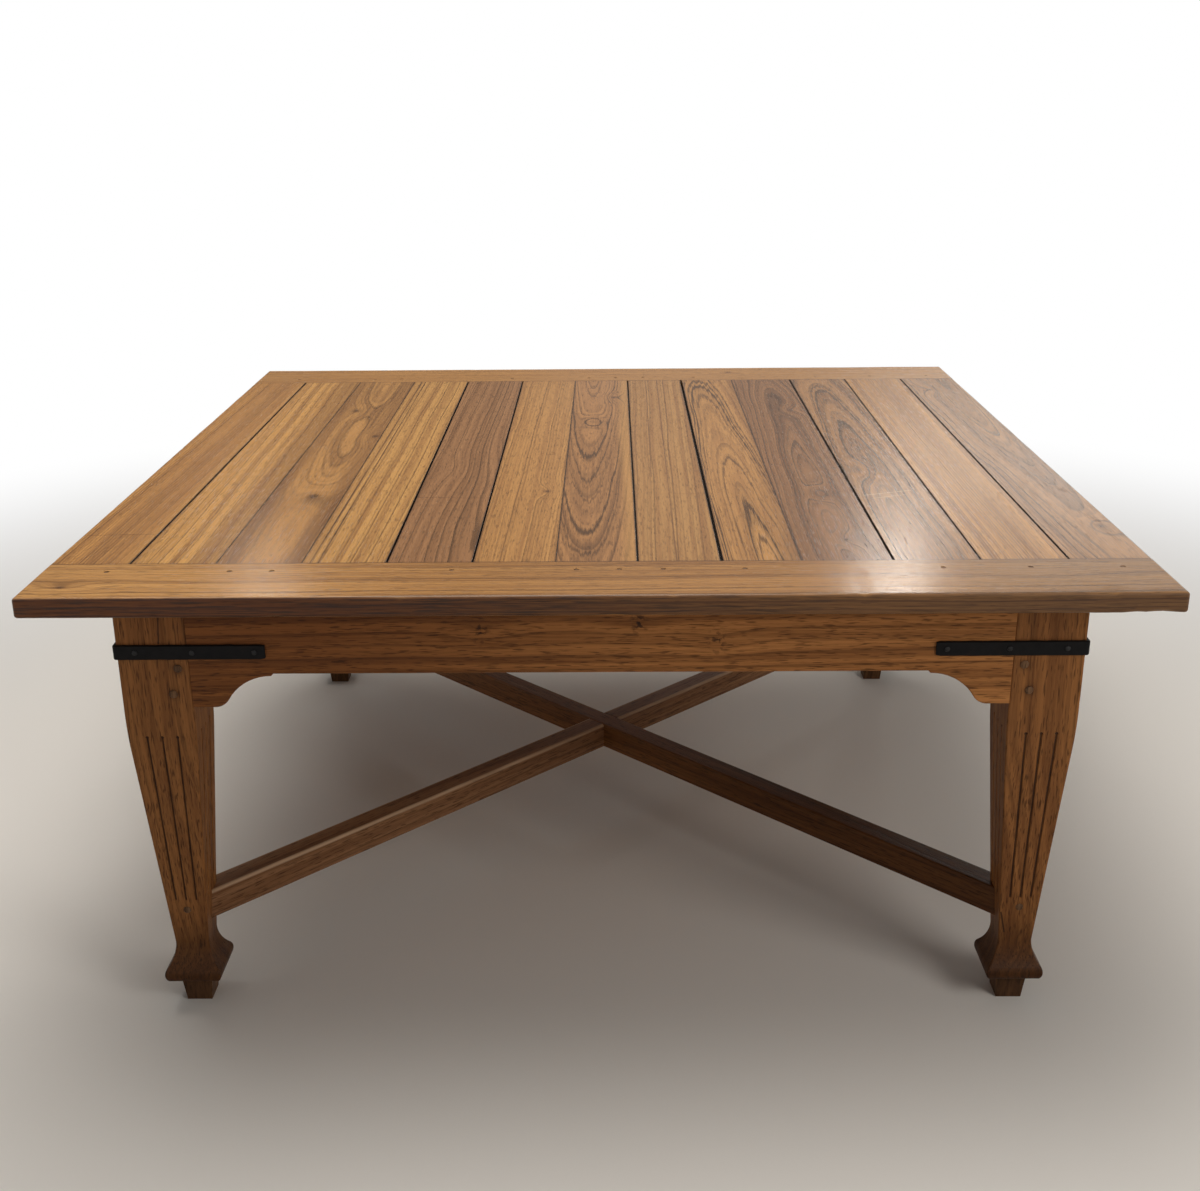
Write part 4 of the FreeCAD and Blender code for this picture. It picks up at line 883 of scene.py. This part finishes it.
for number in range(1, BOARD_COUNT + 1):
    node = f"top_board_{number:02}"
    left, right = board_sides(number)
    half = (right - left) / 2
    board = sawn(f"teak_{node}", "y", ((left + right) / 2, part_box(node)[1].z), half, BOARDS[number],
                 300.0 + 9.3 * number)
    end = abs(board.along).step(board_end - END_GRIME_WIDTH, board_end - END_GRIME_CORE)
    stained(board, end * END_GRIME, KNOT_BROWN)
    joint = abs(board.across) if 1 < number < BOARD_COUNT else board.across * (1 if number == 1 else -1)
    tinted(board, joint.step(half - GAP_DEPTH, half - GAP_CORE), GAP_DIRT)
    finished(board, [node], TOP_SHINE, TOP_RELIEF)
    if number in (1, BOARD_COUNT):
        side = top_face if number == BOARD_COUNT else -top_face
        worn(f"worn_{node}", node, 1, [((side, 0.0, top_level), SIDE_WEAR, ())], board.material)

# Breadboards
# A teak board across each end of the top, grooved over the ends of the boards and pegged through them.
# The front one is rubbed, dented and chipped along its edge. The outer edges are darkened by painted shade,
# most at the left.

FRONT_WEAR = 0.0014
# Chips out of the upper and the lower arris, by their places along, lengths and depths.
FRONT_CHIPS = ((0.725, 0.007, 0.0035), (0.742, 0.004, 0.0025), (0.381, 0.006, 0.0030),
               (-0.285, 0.010, 0.0015), (-0.640, 0.006, 0.0018), (0.105, 0.005, 0.0016))
UNDER_CHIPS = ((0.812, 0.020, 0.0045), (0.775, 0.010, 0.0030), (-0.470, 0.014, 0.0018),
               (0.020, 0.020, 0.0016))
# The fades are painted shade: they darken the front board more from one place along it to another, towards
# its right end.
FRONT_BOARD = dict(light=(0.62, 0.325, 0.108, 1), dark=RED_BROWN, bands=0.50, lines=0.90,
                   heart=(-0.11, -0.10), lean=(0.01, 0.0), ring=0.006, sway=0.012,
                   knots=[(-0.030, -0.795, 0.012)],
                   fades=[(-0.75, -0.05, (0.74, 0.70, 0.66, 1)), (0.25, 0.75, (0.74, 0.76, 0.80, 1))],
                   eyes=[(0.0, -0.55, 0.03, 0.14, 0.012), (0.01, 0.66, 0.03, 0.10, 0.012)],
                   strokes=[(-0.020, -0.62, -0.016, -0.36, 0.0022, SAPWOOD),
                            (0.052, -0.30, 0.050, 0.20, 0.0012, DEEP_BROWN)])
BACK_BOARD = dict(light=GOLD, dark=RED_BROWN, bands=0.50, lines=0.80, heart=(0.16, -0.04), lean=(-0.01, 0.0),
                  ring=0.006, sway=0.012, knots=[(0.020, 0.310, 0.012)])
EDGE_PAINTED_SHADE = (0.46, 0.29, 0.20, 1)
# The edge's painted shade fades out, and its black dashes grow fainter, from left to right.
EDGE_SHADE_FADE = (-0.6, 0.8)
EDGE_DASHES = 0.70
DASH_FADE = (-0.2, 0.8)
DASH_LOSS = 0.40
EDGE_DULL = 0.3
END_GRAIN = (0.50, 0.40, 0.32, 1)
for side, turn, figure, chips, under_chips in (("front", -1, FRONT_BOARD, FRONT_CHIPS, UNDER_CHIPS),
                                               ("back", 1, BACK_BOARD, (), ())):
    node = f"breadboard_{side}"
    low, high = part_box(node)
    half = (high.y - low.y) / 2
    board = sawn(f"teak_{node}", "x", ((low.y + high.y) / 2, high.z), half, figure, 450.0 + turn)
    outer = (board.across * turn).step(half - 0.003, half - 0.0008)
    # Painted shade: the outer edge face is darkened, most at its left end.
    tinted(board, outer * (1 - board.along.step(*EDGE_SHADE_FADE)), EDGE_PAINTED_SHADE)
    dashes = streaks(board, across=520.0, along=14.0, detail=2.0, shift=81.0).step(0.50, 0.62)
    stained(board, outer * dashes * (EDGE_DASHES - board.along.step(*DASH_FADE) * DASH_LOSS), WAX_AND_SHADE_BLACK)
    tinted(board, abs(board.along).step(top_face - 0.0015, top_face - 0.0004), END_GRAIN)
    board.rough = board.rough + outer * EDGE_DULL
    finished(board, [node], TOP_SHINE, TOP_RELIEF)
    arris = (0.0, turn * cad_box[1].y, top_level)
    under = (0.0, turn * cad_box[1].y, low.z)
    worn(f"worn_{node}", node, 0, [(arris, FRONT_WEAR, chips), (under, SIDE_WEAR, under_chips)],
         board.material)

# Breadboard pegs
# Slim riven teak pegs through the breadboards into the boards' tongues.
# They are cut off just under the surface, and their end grain is dark with wax.

BREADBOARD_PEG = 0.008
BREADBOARD_PEG_INSET = 0.037
BREADBOARD_PEG_LENGTH = 0.027
BREADBOARD_PEG_WOBBLE = 0.03
PEG_SUNK = 0.0004
PEG_CHAMFER = 0.0004
# The board that each peg holds, and how far to the right of that board's middle it is.
BREADBOARD_PEGS = [(1, 0.039), (3, -0.036), (3, 0.028), (5, 0.038), (7, -0.030), (7, 0.035), (8, -0.026),
                   (9, -0.030), (11, 0.001), (12, -0.001), (13, 0.005)]
breadboard_pegs = shape()
for number, offset in BREADBOARD_PEGS:
    left, right = board_sides(number)
    for turn in (-1, 1):
        head = ((left + right) / 2 + offset, turn * (board_end + BREADBOARD_PEG_INSET), top_level - PEG_SUNK)
        lathed(breadboard_pegs, head, (0, 0, 1),
               [(-BREADBOARD_PEG_LENGTH, 0.4 * BREADBOARD_PEG), (-PEG_CHAMFER, 0.49 * BREADBOARD_PEG),
                (0.0, 0.42 * BREADBOARD_PEG)], BREADBOARD_PEG_WOBBLE)
placed("shaved_breadboard_pegs", breadboard_pegs, peg_teak, ["breadboard_pegs"])

# Floor, light and camera
# A plain pale floor that fades to white, with soft light from above and from the front right.
# The camera stands where the photograph was taken, at about eye height and square to the table's front.

WHITE = (1, 1, 1, 1)
FLOOR_PALE = (0.88, 0.86, 0.83, 1)
FLOOR_FADE = (1.3, 3.8)
FLOOR_EDGE = 15.0


def looked_at(tree):
    """1 for the rays that the eye follows, straight from the camera or by way of gloss or glass."""
    path = tree.nodes.new("ShaderNodeLightPath")
    seen = Wire(path.outputs["Is Camera Ray"])
    for ray in ("Is Glossy Ray", "Is Transmission Ray"):
        seen = seen.math("MAXIMUM", seen, Wire(path.outputs[ray]))
    return seen


def sheet(name, corners, material):
    """A flat sheet of the studio, round the table."""
    mesh = bpy.data.meshes.new(name)
    mesh.from_pydata(corners, [], [(0, 1, 2, 3)])
    mesh.materials.append(material)
    made = bpy.data.objects.new(name, mesh)
    bpy.context.scene.collection.objects.link(made)
    return made


pale, place = bare("pale_floor")
away = place.node("ShaderNodeVectorMath", {"operation": "LENGTH"}, {0: place}, "Value").step(*FLOOR_FADE)
matt = place.node("ShaderNodeBsdfDiffuse", {}, {"Color": FLOOR_PALE})
white = place.node("ShaderNodeEmission", {}, {"Color": WHITE, "Strength": 1.0})
ground = place.node("ShaderNodeMixShader", {}, {0: away * looked_at(pale.node_tree), 1: matt, 2: white})
ground.node("ShaderNodeOutputMaterial", {}, {"Surface": ground})
floor = sheet("floor", [(-FLOOR_EDGE, -FLOOR_EDGE, 0), (FLOOR_EDGE, -FLOOR_EDGE, 0),
                        (FLOOR_EDGE, FLOOR_EDGE, 0), (-FLOOR_EDGE, FLOOR_EDGE, 0)], pale)

FILL_WHITE = (1, 0.97, 0.93, 1)
FILL_STRENGTH = 0.15
world = bpy.data.worlds.new("studio")
bpy.context.scene.world = world
world.use_nodes = True
world.node_tree.nodes.clear()
seen = looked_at(world.node_tree)
fill = seen.node("ShaderNodeBackground", {}, {"Color": FILL_WHITE, "Strength": FILL_STRENGTH})
backdrop = seen.node("ShaderNodeBackground", {}, {"Color": WHITE, "Strength": 1.0})
sky = seen.node("ShaderNodeMixShader", {}, {0: seen, 1: fill, 2: backdrop})
sky.node("ShaderNodeOutputWorld", {}, {"Surface": sky})

# A dark screen stands behind the table, seen only in the gloss of the top.
# On the right it gives way to a pale patch, strongest at the height that the front of the top reflects.
SCREEN_DARK = (0.20, 0.17, 0.14, 1)
SCREEN_GREY = (0.34, 0.32, 0.30, 1)
SCREEN_PALE = (2.7, 2.65, 2.5, 1)
SCREEN_PLACE = 5.0
SCREEN_SIDE = 8
SCREEN_TOP = 7
GREY_ACROSS = (-0.9, 0.2)
PALE_ACROSS = (0.8, 2.6)
PALE_RISE = (1.65, 2.3)
PALE_END = (2.2, 2.8)
PALE_LOW = 0.18
cloth, place = bare("screen_cloth")
screen_x, _, screen_z = place.parts()
shade = blended(screen_x.step(*GREY_ACROSS), SCREEN_DARK, SCREEN_GREY)
pale_part = screen_x.step(*PALE_ACROSS) * (PALE_LOW + screen_z.step(*PALE_RISE) * (1 - PALE_LOW))
pale_part = pale_part * (1 - screen_z.step(*PALE_END))
glow = place.node("ShaderNodeEmission", {},
                  {"Color": blended(pale_part, shade, SCREEN_PALE), "Strength": 1.0})
glow.node("ShaderNodeOutputMaterial", {}, {"Surface": glow})
screen = sheet("screen", [(-SCREEN_SIDE, SCREEN_PLACE, 0), (SCREEN_SIDE, SCREEN_PLACE, 0),
                          (SCREEN_SIDE, SCREEN_PLACE, SCREEN_TOP),
                          (-SCREEN_SIDE, SCREEN_PLACE, SCREEN_TOP)], cloth)
screen.visible_camera = False
screen.visible_diffuse = False
screen.visible_shadow = False
screen.visible_transmission = False

LAMP_WARM = (1.0, 0.95, 0.88)
TOP_MIDDLE = Vector((0.0, 0.0, 0.78))


def lamp(name, place, size, power):
    """A soft square lamp that faces the middle of the top."""
    light = bpy.data.lights.new(name, "AREA")
    light.size = size
    light.energy = power
    light.color = LAMP_WARM
    lamp_object = bpy.data.objects.new(name, light)
    lamp_object.location = place
    aim = TOP_MIDDLE - Vector(place)
    lamp_object.rotation_euler = aim.to_track_quat("-Z", "Y").to_euler()
    bpy.context.scene.collection.objects.link(lamp_object)


lamp("overhead", (-0.3, 0.3, 3.4), size=2.6, power=92.0)
lamp("front_right", (2.1, -2.3, 1.8), size=1.2, power=22.0)
lamp("ceiling_left", (-1.80, 4.30, 2.98), size=0.24, power=2.8)
lamp("ceiling_right", (1.54, 4.60, 2.82), size=0.30, power=6.0)

CAMERA_PLACE = (0.02023, -2.82744, 1.49128)
CAMERA_PITCH = 0.3452
CAMERA_YAW = -0.0093
CAMERA_ROLL = -0.0085
SENSOR = 36.0
FOCAL_PIXELS = 1460.842
PHOTO_WIDTH = 1200
forward = Vector((math.sin(CAMERA_YAW) * math.cos(CAMERA_PITCH),
                  math.cos(CAMERA_YAW) * math.cos(CAMERA_PITCH), -math.sin(CAMERA_PITCH)))
level = Vector((math.cos(CAMERA_YAW), -math.sin(CAMERA_YAW), 0.0))
rise = level.cross(forward)
right = level * math.cos(CAMERA_ROLL) + rise * math.sin(CAMERA_ROLL)
up = rise * math.cos(CAMERA_ROLL) - level * math.sin(CAMERA_ROLL)
lens = bpy.data.cameras.new("camera")
lens.sensor_width = SENSOR
lens.lens = FOCAL_PIXELS / PHOTO_WIDTH * SENSOR
camera = bpy.data.objects.new("camera", lens)
camera.matrix_world = Matrix.Translation(CAMERA_PLACE) @ Matrix((right, up, -forward)).transposed().to_4x4()
bpy.context.scene.collection.objects.link(camera)
bpy.context.scene.camera = camera
bpy.context.scene.view_settings.view_transform = "Standard"
